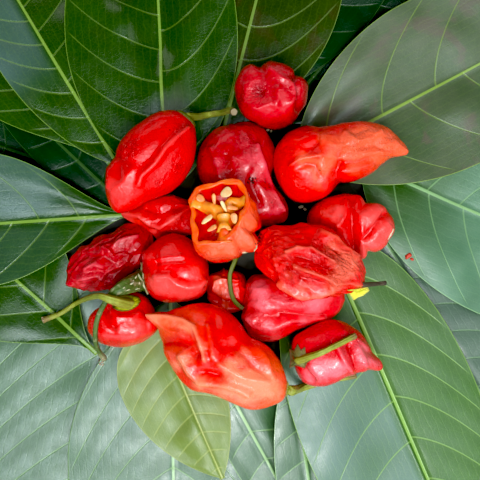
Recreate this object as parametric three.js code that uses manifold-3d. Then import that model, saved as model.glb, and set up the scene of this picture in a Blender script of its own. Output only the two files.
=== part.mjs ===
// Picked chilli pepper fruits heaped on a bed of leaves, seen from straight above.
// Millimetres. +Z is up, +Y is the far side of the heap and +X its right side.
// Sizes are laid out round the middle of the heap; at the end the whole group is
// moved so that the origin is the middle of the underside.

import * as THREE from 'three';
import { mergeVertices } from 'three/addons/utils/BufferGeometryUtils.js';
import Module from 'manifold-3d';

const wasm = await Module();
wasm.setup();

// Clearance between a piece and what it lies on
const GAP = 0.3;

// Leaf blades: steps along and across, and the thickness as a share of the length
const LEAF_STEPS = 10;
const LEAF_COLUMNS = 6;
const LEAF_THICKNESS = 0.0105;
const LEAF_STUB = 1.2; // half width of the cut end of a leaf
const LEAF_WIDEST = 0.44; // where a blade is widest, from base to tip
const LEAF_FOOT = 0.75; // how slowly a blade opens from its base: more is slower
const LEAF_SIDES = 2.1; // how full its sides stay on the way to the tip
const LEAF_TIP = 0.9; // and how suddenly they meet there: less is more suddenly
const LEAF_SPARE = 1; // further than one mesh edge, how far round a point the bed is felt

// Fruits: steps along and round
const POD_STEPS = 10;
const POD_SIDES = 16;
const POD_FLAT = 0.94; // thickness as a share of the width
const LOBE_TWIST = 0.6; // turn of the lobes from end to end, in radians
const SWELL_NARROW = 3; // how narrow a swell is round the fruit
const WALL = 2.1; // thickness of the flesh of the cut fruit

// Stalks
const STALK_STEPS = 9;
const STALK_SIDES = 6;
const CAP_SIDES = 12;
const CAP_THICKNESS = 1.5; // of the green cap on a fruit's shoulder
const CAP_RIM = 0.8; // how far the cap's rim falls, as a share of the shoulder's fall
const CAP_DOME = 0.1; // and its dome halfway out
const STALK_REACH = 3; // how far round a stalk the bed is felt

// The map of heights that the pieces are laid on
const BED_HALF = 210;
const BED_CELL = 0.4;
const NO_AREA = 1e-9; // a triangle that is seen edge on from above

// How far a fruit may slide off its neighbours as it is laid, and the height that
// a slide of one mm is worth; the cost grows with the square of the slide
const SLIDE = 3.2;
const SLIDE_COST = 0.8;

const RED = 0xd81208;
const CRIMSON = 0xb00a18;
const ORANGE_RED = 0xe8401a;
const STALK_GREEN = 0x8f9a3a;
const FLESH = 0xf8a428;
const GREEN = 0x2c5a10;
const PALE_GREEN = 0x7d9f8c;
const DARK_GREEN = 0x14301c;
const YELLOW_GREEN = 0x9fb070;
const SKIN_ROUGHNESS = 0.3;
const FLESH_ROUGHNESS = 0.5;
const LEAF_ROUGHNESS = 0.5;
const STALK_ROUGHNESS = 0.6;

// Leaves from the lowest to the top one. base and tip are the ends of the blade,
// left and right its half widths as seen from base to tip.
const LEAVES = [
  { name: 'leaf_under_south', base: [-74, -18], tip: [54, -50], left: 38, right: 26,
    colour: DARK_GREEN },
  { name: 'leaf_under_north', base: [-92, 8], tip: [76, 32], left: 33, right: 38,
    colour: DARK_GREEN },
  { name: 'leaf_left_hidden', base: [-50, 22], tip: [-166, 62], left: 19, right: 19,
    colour: DARK_GREEN },
  { name: 'leaf_top_hidden', base: [14, 50], tip: [104, 158], left: 22, right: 22,
    colour: DARK_GREEN },
  { name: 'leaf_top_dark', base: [6.5, 57], tip: [87, 179], left: 21, right: 21,
    foot: 1.3, colour: DARK_GREEN },
  { name: 'leaf_right_dark', base: [59, 6.5], tip: [148, -134], left: 26, right: 26,
    colour: PALE_GREEN },
  { name: 'leaf_left_dark', base: [-50, 15], tip: [-118, 79], left: 12.5, right: 18,
    colour: DARK_GREEN },
  { name: 'leaf_bottom_left', base: [-50, -16], tip: [-92, -181], left: 36, right: 56, foot: 0.6,
    colour: PALE_GREEN },
  { name: 'leaf_top_olive', base: [-7, 48], tip: [28, 187], left: 30, right: 36,
    colour: GREEN },
  { name: 'leaf_left_high', base: [-56, 33], tip: [-158, 146], left: 27, right: 26,
    foot: 1.6, colour: GREEN },
  { name: 'leaf_bottom', base: [-30, -26], tip: [-28, -190], left: 34, right: 46,
    colour: PALE_GREEN },
  { name: 'leaf_bottom_mid', base: [-15, -46], tip: [37, -144], left: 20, right: 14,
    colour: PALE_GREEN },
  { name: 'leaf_bottom_narrow', base: [22, -54], tip: [40, -170], left: 20, right: 14,
    colour: PALE_GREEN },
  { name: 'leaf_bottom_right', base: [38, -2], tip: [109, -168], left: 36, right: 44.5,
    foot: 0.45, colour: PALE_GREEN },
  { name: 'leaf_right', base: [54, 33], tip: [179, -20], left: 30, right: 40.5,
    widest: 0.52, foot: 0.62, colour: PALE_GREEN },
  { name: 'leaf_top_right', base: [26, 35], tip: [157, 105], left: 38.5, right: 38.5,
    widest: 0.5, foot: 0.65, colour: PALE_GREEN },
  { name: 'leaf_top_left', base: [-53, 33], tip: [-131, 161], left: 22.5, right: 24,
    colour: GREEN },
  { name: 'leaf_left_low', base: [-61.5, -49], tip: [-155, 35], left: 31, right: 27,
    foot: 1.8, colour: GREEN },
  { name: 'leaf_left', base: [-46, 11], tip: [-179, 2], left: 27, right: 31,
    widest: 0.5, foot: 1.65, colour: GREEN },
  { name: 'leaf_top', base: [-31, 21], tip: [-40, 177], left: 40, right: 34,
    colour: GREEN },
  { name: 'leaf_small_yellow', base: [-36, -35], tip: [-5, -105.5], left: 19, right: 27,
    widest: 0.34, foot: 0.4, colour: YELLOW_GREEN },
];

// Fruits in the order in which they are laid. stalk and tip are the two ends,
// with a height where the fruit isn't level; bow bends it to its left; widest is
// the place of its greatest width; shoulder and point are the fullness of the two
// ends (1 a cone, 2 round, 3 blunt); flat is the thickness as a share of the width.
// Each swell or dent is one place [along 0 to 1, turn in degrees from the left side
// over the top, reach along, depth in mm].
const PODS = [
  { name: 'pod_top', stalk: [16, 59, 0], tip: [10.5, 61, 27], bow: 0, width: 30,
    widest: 0.5, shoulder: 2.3, point: 2.6, lobes: 4, lobe: 0.05, colour: CRIMSON },
  { name: 'pod_crumpled', stalk: [-16, 13, 0], tip: [-48.5, 12, 0], bow: 2.5, width: 18,
    widest: 0.5, shoulder: 2, point: 1.7, lobes: 3, lobe: 0.06, colour: RED },
  { name: 'pod_right', stalk: [64, 2.5, 0], tip: [28, 9.5, 0], bow: -1, width: 25,
    widest: 0.4, shoulder: 2.5, point: 2.2, lobes: 3, lobe: 0.06, colour: RED,
    swells: [[0.42, 20, 0.09, -2.6]] },
  { name: 'pod_folded', stalk: [45, -25, 0], tip: [1.5, -28, 0], bow: 0, width: 26,
    widest: 0.72, shoulder: 1.7, point: 2.6, lobes: 3, lobe: 0.06, colour: CRIMSON },
  { name: 'pod_small', stalk: [-5, -20.5, 0], tip: [-4.5, -22, 16], bow: 0, width: 17.5,
    widest: 0.55, shoulder: 2, point: 2.4, lobes: 5, lobe: 0.05, colour: ORANGE_RED },
  { name: 'pod_long_dark', stalk: [-3.5, 49, 0], tip: [18, 8, 3], bow: -3, width: 31.5,
    widest: 0.33, shoulder: 2.2, point: 1.7, lobes: 3, lobe: 0.04, colour: CRIMSON },
  { name: 'pod_left', stalk: [-37.5, 2.5, 0], tip: [-71, -15, 0], bow: 0, width: 20.5,
    widest: 0.6, shoulder: 2, point: 2.6, lobes: 4, lobe: 0.07, colour: CRIMSON },
  { name: 'pod_low_left', stalk: [-46, -29, 19], tip: [-50.5, -40, -4], bow: 0,
    width: 29, flat: 0.8, widest: 0.45, shoulder: 2.6, point: 2.4, lobes: 3,
    lobe: 0.06, colour: RED },
  { name: 'pod_centre_left', stalk: [-40, -17, 0], tip: [-11, -8.5, 0], bow: 0,
    width: 27.5, widest: 0.48, shoulder: 2.4, point: 2.4, lobes: 3, lobe: 0.06,
    colour: RED },
  { name: 'pod_bottom', stalk: [20, -60.5, 0], tip: [-37, -32.5, 0], bow: 0, width: 32,
    widest: 0.42, shoulder: 2.4, point: 1.9, lobes: 3, lobe: 0.05, colour: ORANGE_RED },
  { name: 'pod_low_right', stalk: [24, -49, 0], tip: [59.5, -52, 0], bow: 3,
    width: 27, widest: 0.38, shoulder: 2.6, point: 1.5, lobes: 3, lobe: 0.05,
    colour: CRIMSON },
  { name: 'pod_hooked', stalk: [13.5, 31, 0], tip: [69, 35.5, 0], bow: 3, width: 31,
    widest: 0.27, shoulder: 2.3, point: 1.6, lobes: 3, lobe: 0.04, colour: ORANGE_RED,
    swells: [[0.78, 180, 0.14, -3]] },
  { name: 'pod_upper_left', stalk: [-21.5, 50.5, 0], tip: [-51.5, 14, 0], bow: 0,
    width: 29.5, widest: 0.45, shoulder: 2.3, point: 2.4, lobes: 3, lobe: 0.05,
    colour: RED },
  { name: 'pod_crinkled', stalk: [49.5, -17, 0], tip: [7, -2, 0], bow: 0, width: 26.5,
    widest: 0.5, shoulder: 2.4, point: 2.3, lobes: 4, lobe: 0.04, colour: ORANGE_RED },
  { name: 'pod_cut', stalk: [-0.5, -2, 0], tip: [-10.5, 19.5, 31], bow: 0, width: 28,
    widest: 0.5, shoulder: 2.2, point: 2.8, lobes: 4, lobe: 0.06, colour: ORANGE_RED },
];

// Stalks with their green caps: of is the fruit, after the piece that is laid before
// it, cap the radius of the green on the shoulder, root the radius where the stalk
// leaves it, and course its way: [x, y, lift above what lies below, radius]. Where
// hangs is set, the lift counts from the fruit's stalk end instead.
const STALKS = [
  { name: 'stalk_centre_left', of: 'pod_centre_left', after: 'pod_centre_left', cap: 5.6,
    root: 4.4, course: [[-47, -19, 1, 3], [-53, -22, 1, 1.4], [-56, -29, 0.5, 1],
      [-58, -41, 0.5, 0.95], [-58.5, -50.5, 0, 1.2]] },
  { name: 'stalk_low_left', of: 'pod_low_left', after: 'pod_centre_left', cap: 6.5,
    root: 2.2, course: [[-50, -25, 2, 2], [-60, -23, 2, 1.2], [-69, -26.5, 1, 1],
      [-77, -31.5, 0.5, 1], [-84.5, -34.5, 0, 1.2]] },
  { name: 'stalk_bottom', of: 'pod_bottom', after: 'pod_bottom', cap: 3.4, root: 2,
    course: [[26, -62.5, 0.3, 1.6], [36, -60.5, 0.3, 1], [49.5, -58, 0.3, 1]] },
  { name: 'stalk_low_right', of: 'pod_low_right', after: 'pod_low_right', cap: 5,
    root: 1.8, course: [[28, -46.5, 0.5, 1.2], [37, -42.5, 0.3, 1], [46, -39, 0, 1]] },
  { name: 'stalk_upper_left', of: 'pod_upper_left', after: 'pod_upper_left', cap: 5,
    root: 1.6, course: [[-16.5, 54, 3, 1.2], [-9, 56, 2, 1.15], [-1.5, 54.3, 0, 1.15]] },
  { name: 'stalk_crinkled', of: 'pod_crinkled', after: 'pod_crinkled', cap: 4.6,
    root: 1.8, hangs: true, course: [[55, -19, -1, 1], [61.5, -18, -3, 0.9]] },
  { name: 'stalk_cut', of: 'pod_cut', after: 'pod_cut', cap: 4.8, root: 1.5,
    hangs: true, course: [[-2, -8, -3, 1], [-4.2, -15, -4, 0.95], [-3, -24, -5, 0.95],
      [1, -28.5, -5, 1]] },
];

// The cut across the cut fruit: its place as a share of the fruit's length from the
// stalk end, and the way that it faces
const CUT_ALONG = 0.62;
const CUT_FACING = [-0.2, 0.34, 0.92];
const CUTTER = 90; // side of the block that is cut away

// Inside the cut fruit: the pale column, its fins to the wall, and the seeds round
// its top, each with a turn in degrees, a distance out and a height over the cut
const CORE_WIDTH = 8.5;
const CORE_WIDEST = 0.8;
const CORE_POINT = 3;
const FIN_THICKNESS = 1.6;
const FIN_TURNS = [35, 160, 275];
const FIN_DEPTH = 2.5; // how far below the cut the fins end
const SEED_LENGTH = 4.2;
const SEED_WIDTH = 2.6;
const SEED_THICKNESS = 1.5;
const SEED_SIDES = 7;
const SEED_RINGS = 5;
const SEEDS = [[10, 3.6, -0.2], [70, 3.8, -0.6], [115, 3.5, 0], [165, 3.9, -0.4],
  [215, 3.6, 0], [260, 3.8, -0.6], [310, 3.5, -0.1], [0, 0.2, 0.6]];

// A height map of what has been laid so far, on a square grid
class Bed {
  constructor(half, cell) {
    this.half = half;
    this.cell = cell;
    this.count = Math.ceil(2 * half / cell) + 1;
    this.top = new Float32Array(this.count * this.count);
  }

  column(value) {
    return (value + this.half) / this.cell;
  }

  // Calls visit(cell number, height) for each grid point under a triangle
  scan(a, b, c, visit) {
    const area = (b.x - a.x) * (c.y - a.y) - (c.x - a.x) * (b.y - a.y);
    if (Math.abs(area) < NO_AREA) return;
    const lowX = Math.ceil(this.column(Math.min(a.x, b.x, c.x)));
    const highX = Math.floor(this.column(Math.max(a.x, b.x, c.x)));
    const lowY = Math.ceil(this.column(Math.min(a.y, b.y, c.y)));
    const highY = Math.floor(this.column(Math.max(a.y, b.y, c.y)));
    for (let j = lowY; j <= highY; j++) {
      const y = j * this.cell - this.half;
      for (let i = lowX; i <= highX; i++) {
        const x = i * this.cell - this.half;
        const u = ((b.x - x) * (c.y - y) - (c.x - x) * (b.y - y)) / area;
        const v = ((c.x - x) * (a.y - y) - (a.x - x) * (c.y - y)) / area;
        const w = 1 - u - v;
        if (u >= 0 && v >= 0 && w >= 0) visit(j * this.count + i, u * a.z + v * b.z + w * c.z);
      }
    }
  }

  scanAll(geometry, visit) {
    const points = geometry.attributes.position;
    const corners = [new THREE.Vector3(), new THREE.Vector3(), new THREE.Vector3()];
    for (let i = 0; i < geometry.index.count; i += 3) {
      corners.forEach((corner, k) => corner.fromBufferAttribute(points, geometry.index.getX(i + k)));
      this.scan(...corners, visit);
    }
  }

  lay(geometry, place) {
    const offset = this.offset(place);
    this.scanAll(geometry, (cell, z) => {
      this.top[cell + offset] = Math.max(this.top[cell + offset], z + place.z);
    });
  }

  // The number of cells from a grid point to the one that lies at place from it
  offset(place) {
    return Math.round(place.y / this.cell) * this.count + Math.round(place.x / this.cell);
  }

  // Where a geometry comes to rest: it slides off its neighbours by whole cells, up
  // to SLIDE, as far as that brings it down by more than the slide costs
  rest(geometry) {
    const under = new Map();
    this.scanAll(geometry, (cell, z) => {
      if (z < (under.get(cell) ?? Infinity)) under.set(cell, z);
    });
    const steps = Math.round(SLIDE / this.cell);
    const place = new THREE.Vector3(0, 0, Infinity);
    let least = Infinity;
    for (let j = -steps; j <= steps; j++) {
      for (let i = -steps; i <= steps; i++) {
        const offset = j * this.count + i;
        let lift = -Infinity;
        for (const [cell, z] of under) lift = Math.max(lift, this.top[cell + offset] + GAP - z);
        const cost = lift + SLIDE_COST * (i * i + j * j) * this.cell * this.cell;
        if (cost < least) {
          least = cost;
          place.set(i * this.cell, j * this.cell, lift);
        }
      }
    }
    return place;
  }

  // The highest point of the bed within reach of a place
  highest(x, y, reach) {
    let high = 0;
    const span = Math.ceil(reach / this.cell);
    const i0 = Math.round(this.column(x));
    const j0 = Math.round(this.column(y));
    for (let j = -span; j <= span; j++) {
      for (let i = -span; i <= span; i++) {
        if (i * i + j * j > span * span) continue;
        high = Math.max(high, this.top[(j0 + j) * this.count + i0 + i]);
      }
    }
    return high;
  }
}

function closedGeometry(points, triangles) {
  const geometry = new THREE.BufferGeometry();
  geometry.setAttribute('position', new THREE.Float32BufferAttribute(points, 3));
  geometry.setIndex(triangles);
  geometry.computeVertexNormals();
  return geometry;
}

function toSolid(geometry) {
  const bare = geometry.clone();
  bare.deleteAttribute('normal');
  bare.deleteAttribute('uv');
  const merged = mergeVertices(bare);
  return new wasm.Manifold(new wasm.Mesh({
    numProp: 3,
    vertProperties: new Float32Array(merged.attributes.position.array),
    triVerts: new Uint32Array(merged.index.array),
  }));
}

function fromSolid(solid) {
  const mesh = solid.getMesh();
  return closedGeometry(Array.from(mesh.vertProperties), Array.from(mesh.triVerts));
}

// Half width of a blade as a share of its greatest, from base 0 to tip 1
function bladeShare(t, widest, foot) {
  if (t < widest) return (1 - (1 - t / widest) ** 2) ** foot;
  return (1 - ((t - widest) / (1 - widest)) ** LEAF_SIDES) ** LEAF_TIP;
}

// The plan of a leaf: rows of points from the right margin to the left
function leafRows(leaf) {
  const base = new THREE.Vector2(...leaf.base);
  const along = new THREE.Vector2(...leaf.tip).sub(base);
  const left = new THREE.Vector2(-along.y, along.x).normalize();
  const rows = [];
  for (let i = 0; i <= LEAF_STEPS; i++) {
    const t = i / LEAF_STEPS;
    const share = bladeShare(t, leaf.widest ?? LEAF_WIDEST, leaf.foot ?? LEAF_FOOT);
    const row = [];
    for (let j = 0; j <= LEAF_COLUMNS; j++) {
      const across = 2 * j / LEAF_COLUMNS - 1;
      const side = across < 0 ? leaf.right : leaf.left;
      const offset = across * Math.max(share * side, LEAF_STUB);
      row.push(base.clone().addScaledVector(along, t).addScaledVector(left, offset));
    }
    rows.push(row);
  }
  return rows;
}

// A leaf as a thin closed slab draped over the bed: each point lies as high as the
// highest thing within one mesh edge of it, so the facets clear what is below
function leafGeometry(leaf, bed) {
  const rows = leafRows(leaf);
  const length = rows[0][0].distanceTo(rows[LEAF_STEPS][0]);
  const thickness = LEAF_THICKNESS * length;
  const edge = Math.hypot(length / LEAF_STEPS, (leaf.left + leaf.right) / LEAF_COLUMNS);
  const columns = LEAF_COLUMNS + 1;
  const low = [];
  const high = [];
  for (const point of rows.flat()) {
    const under = bed.highest(point.x, point.y, edge + LEAF_SPARE);
    const z = under > 0 ? under + GAP : 0;
    low.push(point.x, point.y, z);
    high.push(point.x, point.y, z + thickness);
  }
  const layer = rows.length * columns;
  const triangles = [];
  const quad = (a, b, c, d) => triangles.push(a, b, c, a, c, d);
  const at = (i, j) => i * columns + j;
  for (let i = 0; i < LEAF_STEPS; i++) {
    for (let j = 0; j < LEAF_COLUMNS; j++) {
      quad(at(i, j), at(i, j + 1), at(i + 1, j + 1), at(i + 1, j));
      quad(layer + at(i, j), layer + at(i + 1, j), layer + at(i + 1, j + 1), layer + at(i, j + 1));
    }
    quad(at(i, 0), at(i + 1, 0), layer + at(i + 1, 0), layer + at(i, 0));
    quad(at(i + 1, LEAF_COLUMNS), at(i, LEAF_COLUMNS),
      layer + at(i, LEAF_COLUMNS), layer + at(i + 1, LEAF_COLUMNS));
  }
  for (let j = 0; j < LEAF_COLUMNS; j++) {
    quad(at(0, j + 1), at(0, j), layer + at(0, j), layer + at(0, j + 1));
    quad(at(LEAF_STEPS, j), at(LEAF_STEPS, j + 1),
      layer + at(LEAF_STEPS, j + 1), layer + at(LEAF_STEPS, j));
  }
  return closedGeometry([...low, ...high], triangles);
}

// Radius of a fruit as a share of its greatest, from stalk end 0 to tip 1
function podShare(pod, t) {
  const x = t < pod.widest ? 1 - t / pod.widest : (t - pod.widest) / (1 - pod.widest);
  const fullness = t < pod.widest ? pod.shoulder : pod.point;
  return Math.max(1 - x ** fullness, 0) ** (1 / fullness);
}

// The fruit's bent axis, with the directions to its left and to its upper side
function podAxis(pod, t) {
  const stalk = new THREE.Vector3(...pod.stalk);
  const tip = new THREE.Vector3(...pod.tip);
  const along = tip.clone().sub(stalk);
  const side = new THREE.Vector3(-along.y, along.x, 0).normalize();
  const upper = along.clone().normalize().cross(side);
  const centre = stalk.addScaledVector(along, t).addScaledVector(side, pod.bow * 4 * t * (1 - t));
  return { centre, side, upper, forward: along.normalize() };
}

// One point of a fruit's skin; grow is added all over
function podPoint(pod, t, turn, grow = 0) {
  const { centre, side, upper, forward } = podAxis(pod, t);
  const share = podShare(pod, t);
  const lobe = 1 + pod.lobe * Math.cos(pod.lobes * (turn + LOBE_TWIST * t) - Math.PI / 2);
  let radius = 0.5 * pod.width * share * lobe;
  for (const [along, degrees, reach, depth] of pod.swells ?? []) {
    const far = (t - along) / reach;
    const round = Math.cos(turn - degrees * Math.PI / 180) - 1;
    radius += share * depth * Math.exp(-far * far + SWELL_NARROW * round);
  }
  radius += grow * share;
  return centre.addScaledVector(side, radius * Math.cos(turn))
    .addScaledVector(upper, radius * Math.sin(turn) * (pod.flat ?? POD_FLAT))
    .addScaledVector(forward, -grow * Math.cos(Math.PI * t));
}

// The middle of a fruit's section, moved out at the two ends where it is grown
function podMiddle(pod, t, grow = 0) {
  const { centre, forward } = podAxis(pod, t);
  return centre.addScaledVector(forward, -grow * Math.cos(Math.PI * t));
}

// A fruit's closed skin, made of rings from its stalk end to its tip
function podGeometry(pod, grow = 0) {
  const points = [];
  const triangles = [];
  const ringAt = (i) => (1 - Math.cos(Math.PI * i / POD_STEPS)) / 2;
  for (let i = 1; i < POD_STEPS; i++) {
    for (let j = 0; j < POD_SIDES; j++) {
      points.push(...podPoint(pod, ringAt(i), 2 * Math.PI * j / POD_SIDES, grow));
    }
  }
  const first = points.length / 3;
  points.push(...podMiddle(pod, 0, grow));
  const last = first + 1;
  points.push(...podMiddle(pod, 1, grow));
  for (let j = 0; j < POD_SIDES; j++) {
    const next = (j + 1) % POD_SIDES;
    for (let i = 0; i < POD_STEPS - 2; i++) {
      const a = i * POD_SIDES;
      const b = a + POD_SIDES;
      triangles.push(a + j, a + next, b + next, a + j, b + next, b + j);
    }
    const end = (POD_STEPS - 2) * POD_SIDES;
    triangles.push(first, next, j, last, end + j, end + next);
  }
  return closedGeometry(points, triangles);
}

// A bent stalk: a closed tube of rings along a smooth curve
function stalkGeometry(course, radii) {
  const curve = new THREE.CatmullRomCurve3(course);
  const points = [];
  const triangles = [];
  for (let i = 0; i <= STALK_STEPS; i++) {
    const share = i / STALK_STEPS;
    const centre = curve.getPoint(share);
    const forward = curve.getTangent(share);
    const side = new THREE.Vector3(-forward.y, forward.x, 0).normalize();
    const upper = forward.clone().cross(side);
    const step = Math.min(Math.floor(share * (radii.length - 1)), radii.length - 2);
    const radius = THREE.MathUtils.lerp(radii[step], radii[step + 1],
      share * (radii.length - 1) - step);
    for (let j = 0; j < STALK_SIDES; j++) {
      const turn = 2 * Math.PI * j / STALK_SIDES;
      points.push(...centre.clone().addScaledVector(side, radius * Math.cos(turn))
        .addScaledVector(upper, radius * Math.sin(turn)));
    }
  }
  const end = STALK_STEPS * STALK_SIDES;
  for (let j = 0; j < STALK_SIDES; j++) {
    const next = (j + 1) % STALK_SIDES;
    for (let a = 0; a < end; a += STALK_SIDES) {
      const b = a + STALK_SIDES;
      triangles.push(a + j, a + next, b + next, a + j, b + next, b + j);
    }
    if (j > 1) {
      triangles.push(0, j, j - 1, end, end + j - 1, end + j);
    }
  }
  return closedGeometry(points, triangles);
}

// The place along a fruit's shoulder where its radius has a given length
function shoulderAt(pod, radius) {
  const share = 2 * radius / pod.width;
  return pod.widest * (1 - (1 - share ** pod.shoulder) ** (1 / pod.shoulder));
}

// A round cap over a fruit's stalk end, down to the place capEnd along it. Its inner
// part lies in the fruit and is cut away later.
function capGeometry(pod, radius, capEnd) {
  const length = new THREE.Vector3(...pod.tip).distanceTo(new THREE.Vector3(...pod.stalk));
  const fall = capEnd * length;
  const crown = GAP + CAP_THICKNESS;
  const profile = [[0, -fall - GAP], [radius, -fall - GAP],
    [radius + GAP, crown - CAP_RIM * fall], [radius / 2, crown - CAP_DOME * fall], [0, crown]];
  const cap = new THREE.LatheGeometry(profile.map(([x, y]) => new THREE.Vector2(x, y)), CAP_SIDES);
  const { forward } = podAxis(pod, 0);
  cap.applyQuaternion(new THREE.Quaternion()
    .setFromUnitVectors(new THREE.Vector3(0, -1, 0), forward));
  cap.translate(...podMiddle(pod, 0));
  return cap;
}

// A stalk and the green cap on the fruit's shoulder in one piece, GAP off the fruit.
// place is where the fruit came to rest.
function cappedStalk(stalk, pod, place, bed) {
  const root = podMiddle(pod, 0).add(place);
  const capEnd = shoulderAt(pod, stalk.cap);
  const course = [podMiddle(pod, capEnd).add(place), root];
  for (const [x, y, lift, radius] of stalk.course) {
    const level = stalk.hangs ? root.z : bed.highest(x, y, radius + STALK_REACH) + GAP + radius;
    course.push(new THREE.Vector3(x, y, level + lift));
  }
  const radii = [stalk.root, stalk.root, ...stalk.course.map((point) => point[3])];
  const cap = capGeometry(pod, stalk.cap, capEnd);
  cap.translate(...place);
  const fruit = podGeometry(pod, GAP);
  fruit.translate(...place);
  return fromSolid(toSolid(stalkGeometry(course, radii)).add(toSolid(cap)).subtract(toSolid(fruit)));
}

// A block that holds everything beyond a plane
function blockBeyond(point, facing) {
  const block = new THREE.BoxGeometry(CUTTER, CUTTER, CUTTER);
  block.translate(0, 0, CUTTER / 2);
  const turn = new THREE.Quaternion().setFromUnitVectors(new THREE.Vector3(0, 0, 1), facing);
  block.applyQuaternion(turn);
  block.translate(...point);
  return toSolid(block);
}

// The cut fruit: its end is gone and the hollow inside shows
function cutPod(pod, facing) {
  const outside = toSolid(podGeometry(pod));
  const inside = toSolid(podGeometry(pod, -WALL));
  return fromSolid(outside.subtract(inside).subtract(blockBeyond(podMiddle(pod, CUT_ALONG), facing)));
}

// What the cut fruit holds: a pale column with fins out to the wall, and seeds
function podCore(pod, facing) {
  const hollow = toSolid(podGeometry(pod, -WALL - GAP));
  const top = podMiddle(pod, CUT_ALONG);
  const { side, upper, forward } = podAxis(pod, 0);
  const column = { ...pod, tip: top.toArray(), width: CORE_WIDTH, lobe: 0,
    widest: CORE_WIDEST, point: CORE_POINT };
  let fins = null;
  for (const degrees of FIN_TURNS) {
    const turn = degrees * Math.PI / 180;
    const out = side.clone().multiplyScalar(Math.cos(turn)).addScaledVector(upper, Math.sin(turn));
    const fin = new THREE.BoxGeometry(pod.width, FIN_THICKNESS, CUTTER);
    fin.translate(pod.width / 2, 0, 0);
    fin.applyMatrix4(new THREE.Matrix4().makeBasis(out, forward.clone().cross(out), forward));
    fin.translate(...top);
    fins = fins ? fins.add(toSolid(fin)) : toSolid(fin);
  }
  const finTop = top.clone().addScaledVector(facing, -FIN_DEPTH);
  let core = fins.subtract(blockBeyond(finTop, facing)).add(toSolid(podGeometry(column)));
  core = core.intersect(hollow);
  const lying = new THREE.Quaternion().setFromUnitVectors(new THREE.Vector3(0, 0, 1), facing);
  for (const [degrees, out, height] of SEEDS) {
    const seed = new THREE.SphereGeometry(0.5, SEED_SIDES, SEED_RINGS);
    seed.scale(SEED_LENGTH, SEED_WIDTH, SEED_THICKNESS);
    seed.translate(out, 0, height - SEED_THICKNESS);
    seed.rotateZ(degrees * Math.PI / 180);
    seed.applyQuaternion(lying);
    seed.translate(...top);
    core = core.add(toSolid(seed));
  }
  return fromSolid(core);
}

const group = new THREE.Group();
const bed = new Bed(BED_HALF, BED_CELL);

function addMesh(name, geometry, colour, roughness, place = new THREE.Vector3()) {
  const material = new THREE.MeshStandardMaterial({ color: colour, roughness, metalness: 0 });
  const mesh = new THREE.Mesh(geometry, material);
  mesh.name = name;
  mesh.position.copy(place);
  group.add(mesh);
  bed.lay(geometry, place);
}

for (const leaf of LEAVES) addMesh(leaf.name, leafGeometry(leaf, bed), leaf.colour, LEAF_ROUGHNESS);

const places = {};
const cutFacing = new THREE.Vector3(...CUT_FACING).normalize();
for (const pod of PODS) {
  const place = bed.rest(podGeometry(pod));
  places[pod.name] = { pod, place };
  if (pod.name === 'pod_cut') {
    addMesh(pod.name, cutPod(pod, cutFacing), pod.colour, SKIN_ROUGHNESS, place);
    addMesh('pod_cut_core', podCore(pod, cutFacing), FLESH, FLESH_ROUGHNESS, place);
  } else {
    addMesh(pod.name, podGeometry(pod), pod.colour, SKIN_ROUGHNESS, place);
  }
  for (const stalk of STALKS.filter((one) => one.after === pod.name)) {
    const fruit = places[stalk.of];
    const geometry = cappedStalk(stalk, fruit.pod, fruit.place, bed);
    addMesh(stalk.name, geometry, STALK_GREEN, STALK_ROUGHNESS);
  }
}

// The origin is the middle of the underside
const size = new THREE.Box3().setFromObject(group);
const middle = size.getCenter(new THREE.Vector3());
group.position.set(-middle.x, -middle.y, -size.min.z);

export default group;
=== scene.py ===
"""Looks for a heap of picked chilli pepper fruits on a bed of leaves, seen from straight above.

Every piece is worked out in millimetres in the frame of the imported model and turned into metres
when its mesh is made. The fruits and blades repeat the few driving sizes of the part's own solids
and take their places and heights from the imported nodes, so each piece stays where its node is.
"""

import logging
import math
from collections.abc import Callable
from dataclasses import dataclass, field
from enum import Enum

import bpy
import numpy as np
from mathutils import Matrix, Vector
from mathutils.bvhtree import BVHTree


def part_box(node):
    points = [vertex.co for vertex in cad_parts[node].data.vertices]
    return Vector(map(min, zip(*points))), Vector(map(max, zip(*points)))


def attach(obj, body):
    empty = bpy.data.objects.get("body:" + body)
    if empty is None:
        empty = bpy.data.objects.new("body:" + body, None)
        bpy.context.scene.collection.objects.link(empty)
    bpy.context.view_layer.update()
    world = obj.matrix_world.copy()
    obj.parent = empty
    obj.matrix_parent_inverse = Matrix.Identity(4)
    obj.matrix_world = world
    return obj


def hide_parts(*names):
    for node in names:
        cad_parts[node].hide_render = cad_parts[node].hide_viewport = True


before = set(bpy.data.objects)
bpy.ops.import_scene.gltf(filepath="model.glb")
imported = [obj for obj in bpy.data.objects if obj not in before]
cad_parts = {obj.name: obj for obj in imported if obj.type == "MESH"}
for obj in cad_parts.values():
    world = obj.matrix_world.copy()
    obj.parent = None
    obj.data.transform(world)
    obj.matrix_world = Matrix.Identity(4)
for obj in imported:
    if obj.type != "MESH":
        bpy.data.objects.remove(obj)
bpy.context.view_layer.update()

log = logging.getLogger("heap")

MM = 0.001

Array = np.ndarray
Socket = bpy.types.NodeSocket
Piece = bpy.types.Object
Material = bpy.types.Material
Colour = tuple[float, float, float]
Place = tuple[float, float]
Point = tuple[float, float, float]
Line = tuple[float, ...]                    # x and y of one point of a plan after the other
Fold = tuple[float, ...]                    # width, rise (below 0 for a valley), then its line
Spot = tuple[float, float, float, float]    # x, y, reach and strength of a round patch
Swell = tuple[float, float, float, float]   # share along, degrees round, reach and depth

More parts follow.
